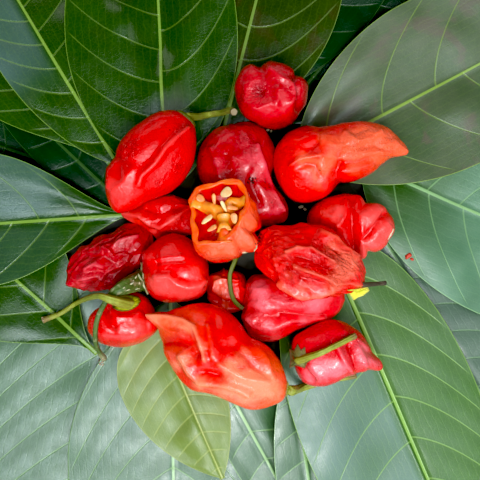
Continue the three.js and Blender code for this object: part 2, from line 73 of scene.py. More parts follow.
# Sizes that the part's solids share with the pieces here
STUB = 1.2            # half width of the cut end of a leaf
BLADE_SIDES = 2.1     # how full the sides of a blade stay on the way to the tip
BLADE_TIP = 0.9       # how suddenly they meet there
BLADE_STEPS = 10      # steps of a solid leaf along and across
BLADE_COLUMNS = 6
EYE_HEIGHT = 370.0    # the camera over the underside of the heap
HEAP_MIDDLE = 20.0    # the height at which the camera sees the photograph's width
LOBE_TWIST = 0.6      # turn of a fruit's lobes from end to end, in radians
SWELL_NARROW = 3.0    # how narrow a swell is on its way round a fruit
COARSE_STEPS = 10     # steps of a solid fruit along and round
COARSE_SIDES = 16
BRIGHT_EDGE = (0.838, 0.546, 0.0)   # the way in which the bright sky's edge runs
WALL = 2.1            # thickness of the flesh of the cut fruit
CUT_ALONG = 0.62      # where the cut crosses the fruit's axis
CUT_FACING = np.array((-0.2, 0.34, 0.92)) / np.linalg.norm((-0.2, 0.34, 0.92))
WARP_PLACES = (0.0, 31.7, 63.4)     # where a warp reads the noise for its three directions
BEARINGS = 360        # directions in which a fruit's outline is measured
CAP_SINK = 0.87       # share of a stalk's radius by which its middle lies under its solid's top


def smooth(value: Array, low: float, high: float) -> Array:
    """Rises from 0 at low to 1 at high, level at both ends."""
    share = np.clip((value - low) / (high - low), 0, 1)
    return share * share * (3 - 2 * share)


def unit(vector: Array) -> Array:
    """The vector, or each row of it, at length 1."""
    return vector / np.linalg.norm(vector, axis=-1, keepdims=True)


def circle(count: int) -> Array:
    """Even turns from 0 to a full one, in radians."""
    return 2 * np.pi * np.arange(count) / count


def crossed(rows: Array, columns: Array) -> list[Array]:
    """Two grids: the row's value and the column's value at every crossing."""
    return np.meshgrid(rows, columns, indexing="ij")


def pairs(line: Line) -> Array:
    """The points of a line, one a row."""
    return np.reshape(line, (-1, 2)).astype(float)


def spline_weights(places: Array, count: int) -> Array:
    """Weights that draw a smooth curve through evenly spaced values.

    Args:
        places: Where the curve is read, from 0 to count - 1.
        count: How many values the curve runs through.

    Returns:
        One row of weights for each place; a row times the values is the curve there.
    """
    weights = np.zeros((len(places), count))
    start = np.minimum(places.astype(int), count - 2)
    f = places - start
    shares = (-0.5 * f + f**2 - 0.5 * f**3, 1 - 2.5 * f**2 + 1.5 * f**3,
              0.5 * f + 2 * f**2 - 1.5 * f**3, -0.5 * f**2 + 0.5 * f**3)
    rows = np.arange(len(places))
    for step, share in enumerate(shares):
        column = start + step - 1
        for beyond, end, inner in ((column < 0, 0, 1), (column >= count, count - 1, count - 2)):
            weights[rows[beyond], end] += 2 * share[beyond]
            weights[rows[beyond], inner] -= share[beyond]
        inside = (column >= 0) & (column < count)
        weights[rows[inside], column[inside]] += share[inside]
    return weights


def smooth_line(points: Array, count: int) -> Array:
    """Points along a smooth line through a few given ones."""
    return spline_weights(np.linspace(0, len(points) - 1, count), len(points)) @ points


def smooth_round(values: Array) -> Array:
    """The values of a ring, each evened out with its neighbours."""
    for _ in range(2):
        values = (np.roll(values, 1, axis=0) + 2 * values + np.roll(values, -1, axis=0)) / 4
    return values


def distance_to(plan: Array, line: Line) -> Array:
    """How far places are from a line of straight stretches.

    Args:
        plan: Places of a plan, with a last axis of two.
        line: The line.

    Returns:
        The distance of each place.
    """
    points = pairs(line)
    nearest = np.full(plan.shape[:-1], np.inf)
    for start, way in zip(points, np.diff(points, axis=0)):
        share = np.clip((plan - start) @ way / (way @ way), 0, 1)
        nearest = np.minimum(nearest, np.linalg.norm(plan - start - share[..., None] * way, axis=-1))
    return nearest


def patchy(plan: Array, spots: tuple[Spot, ...]) -> Array:
    """How strong a few round patches are together at each place of a plan."""
    return sum((strength * np.exp(-(np.linalg.norm(plan - (x, y), axis=-1) / reach) ** 2)
                for x, y, reach, strength in spots), np.zeros(plan.shape[:-1]))


class Noise:
    """Smooth gradient noise in space, the same for the same seed."""

    def __init__(self, seed: int) -> None:
        """Draws the table of directions."""
        draw = np.random.default_rng(seed)
        self.order = draw.permutation(256)
        self.ways = unit(draw.normal(size=(256, 3)))

    def at(self, points: Array, length: float) -> Array:
        """Noise of about -0.7 to 0.7.

        Args:
            points: Where it is read, with a last axis of three.
            length: How far apart its hills are.

        Returns:
            The noise at each point.
        """
        scaled = points / length
        cell = np.floor(scaled).astype(int)
        f = scaled - cell
        fade = f * f * f * (f * (f * 6 - 15) + 10)
        total = np.zeros(points.shape[:-1])
        for corner in np.ndindex(2, 2, 2):
            x, y, z = np.moveaxis(cell + corner, -1, 0) & 255
            ways = self.ways[self.order[(self.order[(self.order[x] + y) & 255] + z) & 255]]
            share = np.prod(np.where(corner, fade, 1 - fade), axis=-1)
            total += share * ((f - corner) * ways).sum(axis=-1)
        return total

    def ridged(self, points: Array, length: float) -> Array:
        """Noise of 0 to 1 with narrow crests."""
        return (1 - np.abs(self.at(points, length)) * 2.2).clip(0) ** 2


@dataclass
class Sheet:
    """Faces and points of a mesh as it is put together, in millimetres."""

    points: list[Array] = field(default_factory=list)
    faces: list[Array] = field(default_factory=list)
    finishes: list[Array] = field(default_factory=list)
    maps: dict[str, list[Array]] = field(default_factory=dict)

    def add(self, points: Array, faces: list[Array], finishes: list[int | Array],
            maps: dict[str, Array] | None = None) -> None:
        """Adds one form.

        Args:
            points: The form's points.
            faces: Arrays of faces, one for each number of corners, that count from its first point.
            finishes: Which of the piece's finishes each array takes, or each of its faces.
            maps: Flat coordinates for each point, by the map's name.
        """
        first = sum(len(part) for part in self.points)
        self.points.append(points)
        self.join(faces, finishes, maps, first)

    def join(self, faces: list[Array], finishes: list[int | Array],
             maps: dict[str, Array] | None = None, first: int = 0) -> None:
        """Adds faces between points that are already there.

        Args:
            faces: Arrays of faces, one for each number of corners.
            finishes: Which of the piece's finishes each array takes, or each of its faces.
            maps: Flat coordinates for each point, by the map's name.
            first: The point from which the faces and the maps count.
        """
        for part, number in zip(faces, finishes):
            self.faces.append(part + first)
            self.finishes.append(np.full(len(part), number))
            for name, values in (maps or {}).items():
                self.maps.setdefault(name, []).append(values[part.ravel()])

    def grid(self, rows: Array, finish: int | Array = 0, maps: dict[str, Array] | None = None) -> None:
        """Adds a tube of rings, closed at both ends by its first and last ring's middle.

        Args:
            rows: The rings, as an array of ring, place and coordinate.
            finish: Which of the piece's finishes it takes, or each band between two rings.
            maps: Flat coordinates for each ring point, by the map's name.
        """
        steps, sides = rows.shape[:2]
        index = np.arange(steps * sides).reshape(steps, sides)
        bands = np.broadcast_to(finish, steps - 1)
        fans = [np.stack([np.full(sides, index.size), np.roll(index[0], -1), index[0]], axis=1),
                np.stack([np.full(sides, index.size + 1), index[-1], np.roll(index[-1], -1)], axis=1)]
        flat = {name: with_ends(values) for name, values in (maps or {}).items()}
        self.add(with_ends(rows), [tube_faces(index), *fans],
                 [np.repeat(bands, sides), bands[0], bands[-1]], flat)

    def build(self, name: str, materials: list[Material]) -> Piece:
        """Makes the Blender object.

        Args:
            name: The piece's name.
            materials: Its finishes, in the order that the faces number them.

        Returns:
            The object, linked to the scene.
        """
        mesh = bpy.data.meshes.new(name)
        points = np.vstack(self.points) * MM
        mesh.vertices.add(len(points))
        mesh.vertices.foreach_set("co", points.astype(np.float32).ravel())
        corners = np.concatenate([part.ravel() for part in self.faces])
        mesh.loops.add(len(corners))
        mesh.loops.foreach_set("vertex_index", corners.astype(np.int32))
        sizes = np.concatenate([np.full(len(part), part.shape[1]) for part in self.faces])
        starts = np.concatenate([[0], np.cumsum(sizes)[:-1]])
        mesh.polygons.add(len(sizes))
        mesh.polygons.foreach_set("loop_start", starts.astype(np.int32))
        mesh.polygons.foreach_set("material_index", np.concatenate(self.finishes).astype(np.int32))
        mesh.polygons.foreach_set("use_smooth", np.ones(len(sizes), bool))
        for map_name, values in self.maps.items():
            layer = mesh.uv_layers.new(name=map_name)
            layer.uv.foreach_set("vector", np.vstack(values).astype(np.float32).ravel())
        mesh.update(calc_edges=True)
        mesh.validate()
        for material in materials:
            mesh.materials.append(material)
        piece = bpy.data.objects.new(name, mesh)
        bpy.context.scene.collection.objects.link(piece)
        return piece


def with_ends(rows: Array) -> Array:
    """The points of rings, one a row, and after them the middles of the first and last ring."""
    return np.vstack([rows.reshape(-1, rows.shape[-1]), rows[0].mean(axis=0), rows[-1].mean(axis=0)])


def tube_faces(index: Array) -> Array:
    """Faces between neighbouring rings of numbered points, facing out."""
    nearer, further = index[:-1], index[1:]
    return np.stack([nearer, np.roll(nearer, -1, 1), np.roll(further, -1, 1), further],
                    axis=-1).reshape(-1, 4)


def quads(index: Array) -> Array:
    """Faces of a sheet of numbered points, rows along it and columns to its left, facing up."""
    return np.stack([index[:-1, :-1], index[1:, :-1], index[1:, 1:], index[:-1, 1:]],
                    axis=-1).reshape(-1, 4)


def rim_quads(upper: Array, lower: Array) -> Array:
    """Faces that close the edge between an upper and a lower line of points."""
    return np.stack([upper[:-1], upper[1:], lower[1:], lower[:-1]], axis=-1)


class Nodes:
    """Adds nodes to a material or a node group and joins them."""

    def __init__(self, tree: bpy.types.NodeTree) -> None:
        """Keeps the tree that is worked on."""
        self.tree = tree

    def add(self, kind: str, inputs: dict[str, object] | None = None, **settings: object) -> bpy.types.Node:
        """A new node.

        Args:
            kind: Which node it is.
            inputs: What its sockets take, by their names.
            settings: Which of its settings are changed.

        Returns:
            The node.
        """
        node = self.tree.nodes.new(kind)
        for name, value in settings.items():
            setattr(node, name, value)
        self.dress(node, inputs or {})
        return node

    def feed(self, socket: Socket, value: object) -> None:
        """Joins a socket to another one, or gives it a value.

        Args:
            socket: The socket.
            value: Another socket, or its value.
        """
        if isinstance(value, Socket):
            self.tree.links.new(value, socket)
        else:
            socket.default_value = (*value, 1) if socket.type == "RGBA" else value

    def dress(self, node: bpy.types.Node, inputs: dict[str, object]) -> None:
        """Feeds a node's sockets, each by its name."""
        for name, value in inputs.items():
            self.feed(node.inputs[name], value)

    def math(self, operation: str, *values: object) -> Socket:
        """One sum of one to three values.

        Args:
            operation: Which sum it is.
            values: One to three sockets or numbers.

        Returns:
            The result.
        """
        node = self.add("ShaderNodeMath", operation=operation)
        for socket, value in zip(node.inputs, values):
            self.feed(socket, value)
        return node.outputs[0]

    def plus(self, total: object, *others: object) -> Socket:
        """The sum of several values."""
        for other in others:
            total = self.math("ADD", total, other)
        return total

    def times(self, product: object, *others: object) -> Socket:
        """The product of several values."""
        for other in others:
            product = self.math("MULTIPLY", product, other)
        return product

    def off_middle(self, value: Socket) -> Socket:
        """How far a value of 0 to 1 is from 0.5."""
        return self.math("ABSOLUTE", self.math("SUBTRACT", value, 0.5))

    def mix(self, share: object, first: object, second: object) -> Socket:
        """A colour between two others.

        Args:
            share: How much of the second it has.
            first: The one.
            second: The other.

        Returns:
            The colour.
        """
        node = self.add("ShaderNodeMix", data_type="RGBA")
        for number, value in ((0, share), (6, first), (7, second)):
            self.feed(node.inputs[number], value)
        return node.outputs[2]

    def rise(self, value: object, low: object, high: object, start: float = 0.0,
             end: float = 1.0) -> Socket:
        """A value that goes smoothly from start at low to end at high.

        Args:
            value: What it follows.
            low: Where it starts.
            high: Where it ends.
            start: Its value at low.
            end: Its value at high.

        Returns:
            The value.
        """
        inputs = {"Value": value, "From Min": low, "From Max": high, "To Min": start, "To Max": end}
        return self.add("ShaderNodeMapRange", inputs, interpolation_type="SMOOTHSTEP").outputs["Result"]

    def noise(self, place: object, scale: object, detail: float = 2.0, warp: float = 0.0,
              roughness: float = 0.5) -> Socket:
        """Cloudy noise of 0 to 1."""
        return self.add("ShaderNodeTexNoise", {"Vector": place, "Scale": scale, "Detail": detail,
                                               "Distortion": warp, "Roughness": roughness}).outputs["Fac"]

    def cells(self, place: object, scale: object, feature: str = "DISTANCE_TO_EDGE") -> Socket:
        """Distance to the border or the middle of irregular cells."""
        return self.add("ShaderNodeTexVoronoi", {"Vector": place, "Scale": scale},
                        feature=feature).outputs["Distance"]

    def place(self) -> Socket:
        """The place on the piece, in metres."""
        return self.add("ShaderNodeTexCoord").outputs["Object"]

    def flat(self, name: str) -> tuple[Socket, Socket]:
        """The two coordinates of one of the piece's flat maps."""
        split = self.add("ShaderNodeSeparateXYZ")
        self.feed(split.inputs[0], self.add("ShaderNodeUVMap", uv_map=name).outputs[0])
        return split.outputs[0], split.outputs[1]

    def bump(self, height: object, distance: float, strength: float = 0.8) -> Socket:
        """A normal that follows a height."""
        return self.add("ShaderNodeBump", {"Strength": strength, "Distance": distance,
                                           "Height": height}).outputs["Normal"]

    def group(self, tree: bpy.types.NodeTree, **values: object) -> bpy.types.bpy_prop_collection:
        """The outputs of one of the shared effects, with its values."""
        node = self.add("ShaderNodeGroup", node_tree=tree)
        self.dress(node, {name.capitalize(): value for name, value in values.items()})
        return node.outputs


class Effects:
    """The shader effects that more than one finish uses, each built once."""

    def __init__(self) -> None:
        """Builds the groups."""
        self.mottle = self._group("Mottle", self._mottle, "Place Scale Contrast", "Share")
        self.veins = self._group("Blade veins", self._veins, "Place Step Out Pitch Margin Along",
                                 "Rib Side Ladder Net Height")
        self.pores = self._group("Pores", self._pores, "Place Scale", "Height Specks")

    @staticmethod
    def _group(name: str, fill: Callable[..., tuple[Socket, ...]], inputs: str,
               outputs: str) -> bpy.types.NodeTree:
        """Makes one group with its sockets and fills it.

        Args:
            name: The group's name.
            fill: What adds the nodes, from the inputs to values for the outputs.
            inputs: The names of its inputs.
            outputs: The names of its outputs.

        Returns:
            The group.
        """
        tree = bpy.data.node_groups.new(name, "ShaderNodeTree")
        for names, way in ((inputs, "INPUT"), (outputs, "OUTPUT")):
            for socket in names.split():
                kind = "NodeSocketVector" if socket == "Place" else "NodeSocketFloat"
                tree.interface.new_socket(name=socket, in_out=way, socket_type=kind)
        nodes = Nodes(tree)
        start, end = nodes.add("NodeGroupInput"), nodes.add("NodeGroupOutput")
        results = fill(nodes, *(start.outputs[given] for given in inputs.split()))
        for socket, value in zip(end.inputs, results):
            nodes.feed(socket, value)
        return tree

    @staticmethod
    def _mottle(nodes: Nodes, place: Socket, scale: Socket, contrast: Socket) -> tuple[Socket, ...]:
        """Broad and fine patches between two tones.

        Args:
            nodes: The group's nodes.
            place: The place on the piece.
            scale: How small the patches are.
            contrast: How hard their edges are.

        Returns:
            The share of the second tone.
        """
        broad = nodes.noise(place, scale, 3, 0.6)
        fine = nodes.noise(place, nodes.times(scale, 5.3), 3)
        both = nodes.plus(nodes.times(broad, 0.7), nodes.times(fine, 0.3), -0.5)
        share = nodes.add("ShaderNodeClamp", {"Value": nodes.plus(nodes.times(both, contrast), 0.5)})
        return (share.outputs[0],)

    @staticmethod
    def _veins(nodes: Nodes, place: Socket, step: Socket, out: Socket, pitch: Socket, margin: Socket,
               along: Socket) -> tuple[Socket, ...]:
        """Midrib, side veins, the ladder between them, the fine net, and the height of them all.

        Args:
            nodes: The group's nodes.
            place: The place on the piece.
            step: How many side veins lie between it and the base.
            out: How far it is from the midrib, in millimetres.
            pitch: The distance from side vein to side vein.
            margin: How far it is from the leaf's margin.
            along: From base 0 to tip 1.

        Returns:
            One value for each of them, in that order.
        """
        half_rib = nodes.rise(along, 0.0, 1.0, 0.55, 0.2)
        rib = nodes.rise(out, half_rib, nodes.plus(half_rib, 0.35), 1, 0)
        turned = nodes.off_middle(nodes.math("FRACT", step))
        near = nodes.times(nodes.math("SUBTRACT", 0.5, turned), pitch)
        half_side = nodes.rise(out, 0.0, 34.0, 0.22, 0.08)
        side = nodes.rise(near, half_side, nodes.plus(half_side, 0.3), 1, 0)
        side = nodes.times(side, nodes.rise(margin, 0.4, 4.0))
        wandering = nodes.plus(out, nodes.times(nodes.noise(place, 220, 2), 2.2))
        row = nodes.times(nodes.math("FLOOR", step), 0.37)
        count = nodes.plus(nodes.math("DIVIDE", wandering, 3.1), row)
        ladder = nodes.rise(nodes.off_middle(nodes.math("FRACT", count)), 0.0, 0.11, 1, 0)
        net = nodes.rise(nodes.cells(place, 640), 0.0, 0.09, 1, 0)
        height = nodes.plus(nodes.times(ladder, -0.12), nodes.times(net, -0.1), nodes.times(side, -0.5),
                            nodes.times(nodes.noise(place, 900, 2), 0.25))
        return rib, side, ladder, net, height

    @staticmethod
    def _pores(nodes: Nodes, place: Socket, scale: Socket) -> tuple[Socket, ...]:
        """Fine unevenness of a skin, and rare dark specks.

        Args:
            nodes: The group's nodes.
            place: The place on the piece.
            scale: How fine the pores are.

        Returns:
            Their height, and where the specks are.
        """
        fine = nodes.noise(place, scale, 4, 0.4, 0.6)
        crest_and_sheen = nodes.off_middle(nodes.noise(place, nodes.times(scale, 0.32), 2, 1.2))
        spots = nodes.cells(place, nodes.times(scale, 0.3), "F1")
        rare = nodes.rise(nodes.noise(place, 170, 1), 0.63, 0.68)
        return (nodes.plus(nodes.times(fine, 0.5), nodes.times(crest_and_sheen, -2.0)),
                nodes.times(nodes.rise(spots, 0.06, 0.13, 1, 0), rare))


def new_material(name: str) -> tuple[Material, Nodes, bpy.types.Node]:
    """A material with its shader.

    Args:
        name: The finish's name.

    Returns:
        The material, its nodes, and the shader whose sockets a finish sets.
    """
    material = bpy.data.materials.new(name)
    material.use_nodes = True
    nodes = Nodes(material.node_tree)
    return material, nodes, material.node_tree.nodes["Principled BSDF"]


@dataclass(frozen=True)
class SkinFinish:
    """The glossy skin of a ripe fruit."""

    name: str
    deep: Colour
    bright: Colour
    # painted sheen: the pale pink tone given to raised ridges and to the skin's sheen spots
    crest_and_sheen: Colour
    tip: Colour
    tip_share: float = 0.0
    root_share: float = 0.0
    coat: float = 0.3
    gloss: float = 0.4

    def material(self, effects: Effects) -> Material:
        """Builds the finish.

        Args:
            effects: The shared shader effects.

        Returns:
            The material.
        """
        material, nodes, shader = new_material(self.name)
        place = nodes.place()
        relief, along = nodes.flat("skin_map")
        # the second map holds how crinkled the skin is, and how strongly a pale sheen is painted on it
        creased, painted_sheen = nodes.flat("crease_sheen_map")
        share = nodes.group(effects.mottle, place=place, scale=75.0, contrast=2.6)["Share"]
        pores = nodes.group(effects.pores, place=place, scale=900.0)
        cloudy = nodes.times(nodes.plus(nodes.noise(place, 300, 3, 0.8), -0.5), 0.7)
        colour = nodes.mix(share, self.deep, self.bright)
        for much, tone in ((nodes.rise(along, 0.55, 0.95, 0, self.tip_share), self.tip),
                           (nodes.rise(along, 0.45, 0.05, 0, self.root_share), self.tip),
                           # painted sheen on the sheen spots, broken up by cloudy noise, and on raised
                           # ridges; painted shade: the deep tone in sunk creases
                           (nodes.rise(nodes.plus(painted_sheen, cloudy), 0.2, 0.9, 0, 0.9), self.crest_and_sheen),
                           (nodes.rise(relief, 0.7, 2.2, 0, 0.7), self.crest_and_sheen),
                           (nodes.rise(relief, -2.0, -0.4, 0.85, 0), self.deep),
                           (nodes.times(pores["Specks"], 0.7), (0.05, 0.01, 0.005))):
            colour = nodes.mix(much, colour, tone)
        puckers = nodes.times(nodes.off_middle(nodes.noise(place, 520, 2, 1.5)), creased, -8.0)
        nodes.dress(shader, {
            "Base Color": colour,
            "Roughness": nodes.rise(nodes.noise(place, 260, 3), 0.3, 0.7, 0.14, 0.31),
            "Normal": nodes.bump(nodes.plus(pores["Height"], puckers), 0.0003),
            "Coat Weight": self.coat, "Coat Roughness": 0.13,
            "Specular IOR Level": self.gloss, "Specular Tint": (1.0, 0.75, 0.75),
            "Subsurface Weight": 0.08, "Subsurface Radius": (1.0, 0.25, 0.1), "Subsurface Scale": 0.0025})
        return material


@dataclass(frozen=True)
class LeafFinish:
    """What both sides of a leaf have: two tones and the veins."""

    name: str
    deep: Colour
    bright: Colour
    vein: Colour

    def veined(self, nodes: Nodes, effects: Effects, colour: Socket, shares: dict[str, float],
               ) -> tuple[Socket, Socket]:
        """Draws the veins on a colour.

        Args:
            nodes: The material's nodes.
            effects: The shared shader effects.
            colour: The colour between the veins.
            shares: How much of the veins' own colour each kind of vein has.

        Returns:
            The colour with the veins, and their height.
        """
        (step, out), (pitch, margin) = nodes.flat("vein_map"), nodes.flat("size_map")
        veins = nodes.group(effects.veins, place=nodes.place(), step=step, out=out, pitch=pitch,
                            margin=margin, along=nodes.flat("blade_map")[0])
        for kind, share in shares.items():
            colour = nodes.mix(nodes.times(veins[kind], share), colour, self.vein)
        return colour, veins["Height"]


@dataclass(frozen=True)
class BladeFinish(LeafFinish):
    """The upper side of a leaf with its veins."""

    blotch: Colour
    blotches: float = 0.0
    side_share: float = 0.42
    roughness: float = 0.24
    gloss: float = 0.5
    foot: Colour = (0.03, 0.085, 0.008)
    foot_share: float = 0.0
    # painted sheen: the pale bluish tone laid on a blade where the sky's sheen falls
    blade_sheen: Colour = (0.085, 0.14, 0.125)

    def material(self, effects: Effects) -> Material:
        """Builds the finish.

        Args:
            effects: The shared shader effects.

        Returns:
            The material.
        """
        material, nodes, shader = new_material(self.name)
        place = nodes.place()
        # the blade map's second coordinate is how strongly the pale sheen is painted there
        along, blade_sheen = nodes.flat("blade_map")
        share = nodes.group(effects.mottle, place=place, scale=38.0, contrast=2.2)["Share"]
        lowest = nodes.plus(along, nodes.times(nodes.noise(place, 25, 3), 0.2))
        patch = nodes.rise(nodes.noise(place, 60, 4, 0.8), 0.52, 0.66, 0, self.blotches)
        colour = nodes.mix(share, self.deep, self.bright)
        colour = nodes.mix(nodes.rise(lowest, 0.55, 0.2, 0, self.foot_share), colour, self.foot)
        colour = nodes.mix(patch, colour, self.blotch)
        # painted sheen laid over the leaf's own colour
        colour = nodes.mix(blade_sheen, colour, self.blade_sheen)
        colour, height = self.veined(nodes, effects, colour, {"Net": 0.06, "Ladder": 0.07,
                                                              "Side": self.side_share, "Rib": 0.95})
        edge = nodes.rise(nodes.flat("size_map")[1], 0.15, 0.5, 0.7, 0)
        nodes.dress(shader, {
            "Base Color": nodes.mix(edge, colour, self.vein),
            "Roughness": nodes.rise(nodes.noise(place, 150, 3), 0.3, 0.7, self.roughness - 0.05,
                                    self.roughness + 0.08),
            "Normal": nodes.bump(height, 0.00016), "Specular IOR Level": self.gloss})
        return material


@dataclass(frozen=True)
class UndersideFinish(LeafFinish):
    """The paler, duller underside of a leaf."""

    def material(self, effects: Effects) -> Material:
        """Builds the finish.

        Args:
            effects: The shared shader effects.

        Returns:
            The material.
        """
        material, nodes, shader = new_material(self.name)
        share = nodes.group(effects.mottle, place=nodes.place(), scale=50.0, contrast=2.0)["Share"]
        colour, height = self.veined(nodes, effects, nodes.mix(share, self.deep, self.bright),
                                     {"Net": 0.2, "Ladder": 0.3, "Side": 0.7, "Rib": 0.95})
        nodes.dress(shader, {"Base Color": colour, "Roughness": 0.65,
                             "Normal": nodes.bump(nodes.times(height, -1), 0.0004)})
        return material


UNDERSIDE = UndersideFinish("leaf underside", (0.13, 0.21, 0.075), (0.21, 0.29, 0.12), (0.33, 0.4, 0.16))


@dataclass(frozen=True)
class FleshFinish:
    """Moist flesh inside a cut fruit: its wall, its rim, its ribs or its seeds."""

    name: str
    tone: Colour
    light: Colour
    grain: float
    roughness: float = 0.35
    coat: float = 0.3
    glow: float = 0.3

    def material(self, effects: Effects) -> Material:
        """Builds the finish.

        Args:
            effects: The shared shader effects.

        Returns:
            The material.
        """
        material, nodes, shader = new_material(self.name)
        place = nodes.place()
        share = nodes.group(effects.mottle, place=place, scale=self.grain, contrast=2.8)["Share"]
        pores = nodes.group(effects.pores, place=place, scale=1500.0)
        nodes.dress(shader, {
            "Base Color": nodes.mix(share, self.tone, self.light),
            "Normal": nodes.bump(pores["Height"], 0.00015, 0.7),
            "Roughness": nodes.rise(share, 0, 1, self.roughness, self.roughness + 0.12),
            "Coat Weight": self.coat, "Coat Roughness": 0.15, "Subsurface Weight": self.glow,
            "Subsurface Radius": (1.0, 0.3, 0.1), "Subsurface Scale": 0.003})
        return material


@dataclass(frozen=True)
class StemFinish:
    """The ribbed green skin of a stalk and its cap."""

    name: str
    tone: Colour
    light: Colour
    dry: Colour
    dryness: float = 0.25
    stripes: int = 9

    def material(self, effects: Effects) -> Material:
        """Builds the finish.

        Args:
            effects: The shared shader effects.

        Returns:
            The material.
        """
        material, nodes, shader = new_material(self.name)
        place = nodes.place()
        along, turn = nodes.flat("stem_map")
        share = nodes.group(effects.mottle, place=place, scale=190.0, contrast=2.6)["Share"]
        pores = nodes.group(effects.pores, place=place, scale=1300.0)
        stripe = nodes.math("SINE", nodes.times(turn, 2 * math.pi * self.stripes))
        colour = nodes.mix(share, self.tone, self.light)
        colour = nodes.mix(nodes.rise(stripe, 0.2, 1, 0, 0.22), colour, self.light)
        for dry in (nodes.rise(nodes.noise(place, 420, 3, 0.5), 0.5, 0.7, 0, self.dryness),
                    nodes.rise(along, 0.9, 0.975, 0, 0.85)):
            colour = nodes.mix(dry, colour, self.dry)
        nodes.dress(shader, {
            "Base Color": colour, "Roughness": nodes.rise(share, 0, 1, 0.42, 0.6),
            "Normal": nodes.bump(nodes.plus(pores["Height"], nodes.times(stripe, 0.35)), 0.00022),
            "Specular IOR Level": 0.25, "Coat Weight": 0.08, "Coat Roughness": 0.3})
        return material


class Skins(Enum):
    """The skins of the fruits, from crimson to orange."""

    # the third colour of each skin is its painted sheen tone, for raised ridges and sheen spots
    CRIMSON = SkinFinish("skin crimson", (0.34, 0.001, 0.004), (0.68, 0.003, 0.012),
                         (0.8, 0.06, 0.085), (0.7, 0.008, 0.02), 0.3)
    ROSE = SkinFinish("skin rose", (0.6, 0.003, 0.006), (0.84, 0.012, 0.022),
                      (0.95, 0.14, 0.17), (0.88, 0.05, 0.05), 0.4)
    SCARLET = SkinFinish("skin scarlet", (0.58, 0.0008, 0.001), (0.86, 0.002, 0.003),
                         (0.96, 0.08, 0.07), (0.94, 0.06, 0.03), 0.3)
    POLISHED = SkinFinish("skin polished", (0.56, 0.0006, 0.001), (0.82, 0.001, 0.002),
                          (0.94, 0.05, 0.045), (0.9, 0.03, 0.02), 0.3, coat=0.2, gloss=0.28)
    FLAME = SkinFinish("skin flame", (0.62, 0.0008, 0.001), (0.88, 0.003, 0.002),
                       (0.97, 0.13, 0.07), (0.94, 0.03, 0.01), 0.3)
    ORANGE = SkinFinish("skin orange", (0.72, 0.002, 0.001), (0.92, 0.01, 0.002),
                        (0.98, 0.125, 0.05), (0.98, 0.11, 0.015), 0.7, gloss=0.33)
    AMBER = SkinFinish("skin amber", (0.72, 0.002, 0.001), (0.92, 0.01, 0.002),
                       (0.98, 0.24, 0.12), (0.98, 0.1, 0.015), 0.55, 0.75)


class Blades(Enum):
    """The upper sides of the leaves."""

    # painted shade: a darkened green for the leaves that lie in shade under the others
    SHADOWED = BladeFinish("blade shadowed", (0.005, 0.02, 0.006), (0.011, 0.04, 0.012),
                       (0.04, 0.09, 0.02), (0.01, 0.02, 0.006), gloss=0.3)
    GREEN = BladeFinish("blade green", (0.01, 0.04, 0.001), (0.021, 0.07, 0.002),
                        (0.2, 0.32, 0.05), (0.03, 0.05, 0.002), 0.2, 0.32)
    OLIVE = BladeFinish("blade olive", (0.016, 0.034, 0.003), (0.03, 0.058, 0.006),
                        (0.17, 0.26, 0.05), (0.055, 0.04, 0.015), 0.55, gloss=0.3)
    # partly painted sheen: a greyed green that lays part of the sky's grey sheen into the top right leaf's
    # colour
    GREY_SHEEN = BladeFinish("blade grey sheen", (0.05, 0.088, 0.032), (0.105, 0.122, 0.068),
                       (0.22, 0.33, 0.05), (0.12, 0.088, 0.07), 0.6, roughness=0.33)
    # partly painted sheen: the lower leaves' own green, paled and blued towards the sky's sheen that falls on
    # them
    PALE_SHEEN = BladeFinish("blade pale sheen", (0.035, 0.085, 0.03), (0.055, 0.12, 0.045),
                       (0.24, 0.4, 0.13), (0.05, 0.11, 0.05), 0.25, roughness=0.34, gloss=0.8)
    # painted sheen: a pale bluish green that lays the sky's sheen into the colour, all but the deep green
    # foot
    SKY_SHEEN = BladeFinish("blade sky sheen", (0.075, 0.17, 0.09), (0.11, 0.23, 0.13),
                       (0.24, 0.42, 0.16), (0.09, 0.18, 0.1), 0.25, roughness=0.36, gloss=0.6,
                       foot_share=1.0)
    # its sheen tone paints the sky's pale bluish sheen on one half of the blade
    LIME = BladeFinish("blade lime", (0.032, 0.1, 0.002), (0.052, 0.14, 0.004),
                       (0.28, 0.46, 0.1), (0.035, 0.1, 0.004), 0.25, roughness=0.34, gloss=0.46,
                       foot_share=0.6, blade_sheen=(0.115, 0.19, 0.145))
    # painted shade: a near-black brown for the lowest leaves, which show only in the shaded gaps of the heap
    SHADE = BladeFinish("blade shade", (0.034, 0.03, 0.022), (0.055, 0.046, 0.032),
                        (0.06, 0.06, 0.035), (0.03, 0.022, 0.015), roughness=0.5, gloss=0.15)
    SLATE = BladeFinish("blade slate", (0.03, 0.07, 0.035), (0.05, 0.1, 0.05),
                        (0.15, 0.27, 0.1), (0.04, 0.08, 0.04), 0.25, roughness=0.34, gloss=0.5)
    YELLOW = BladeFinish("blade yellow", (0.13, 0.18, 0.03), (0.2, 0.26, 0.058),
                         (0.38, 0.42, 0.12), (0.2, 0.22, 0.03), 0.3, 0.4, roughness=0.36, gloss=0.45)


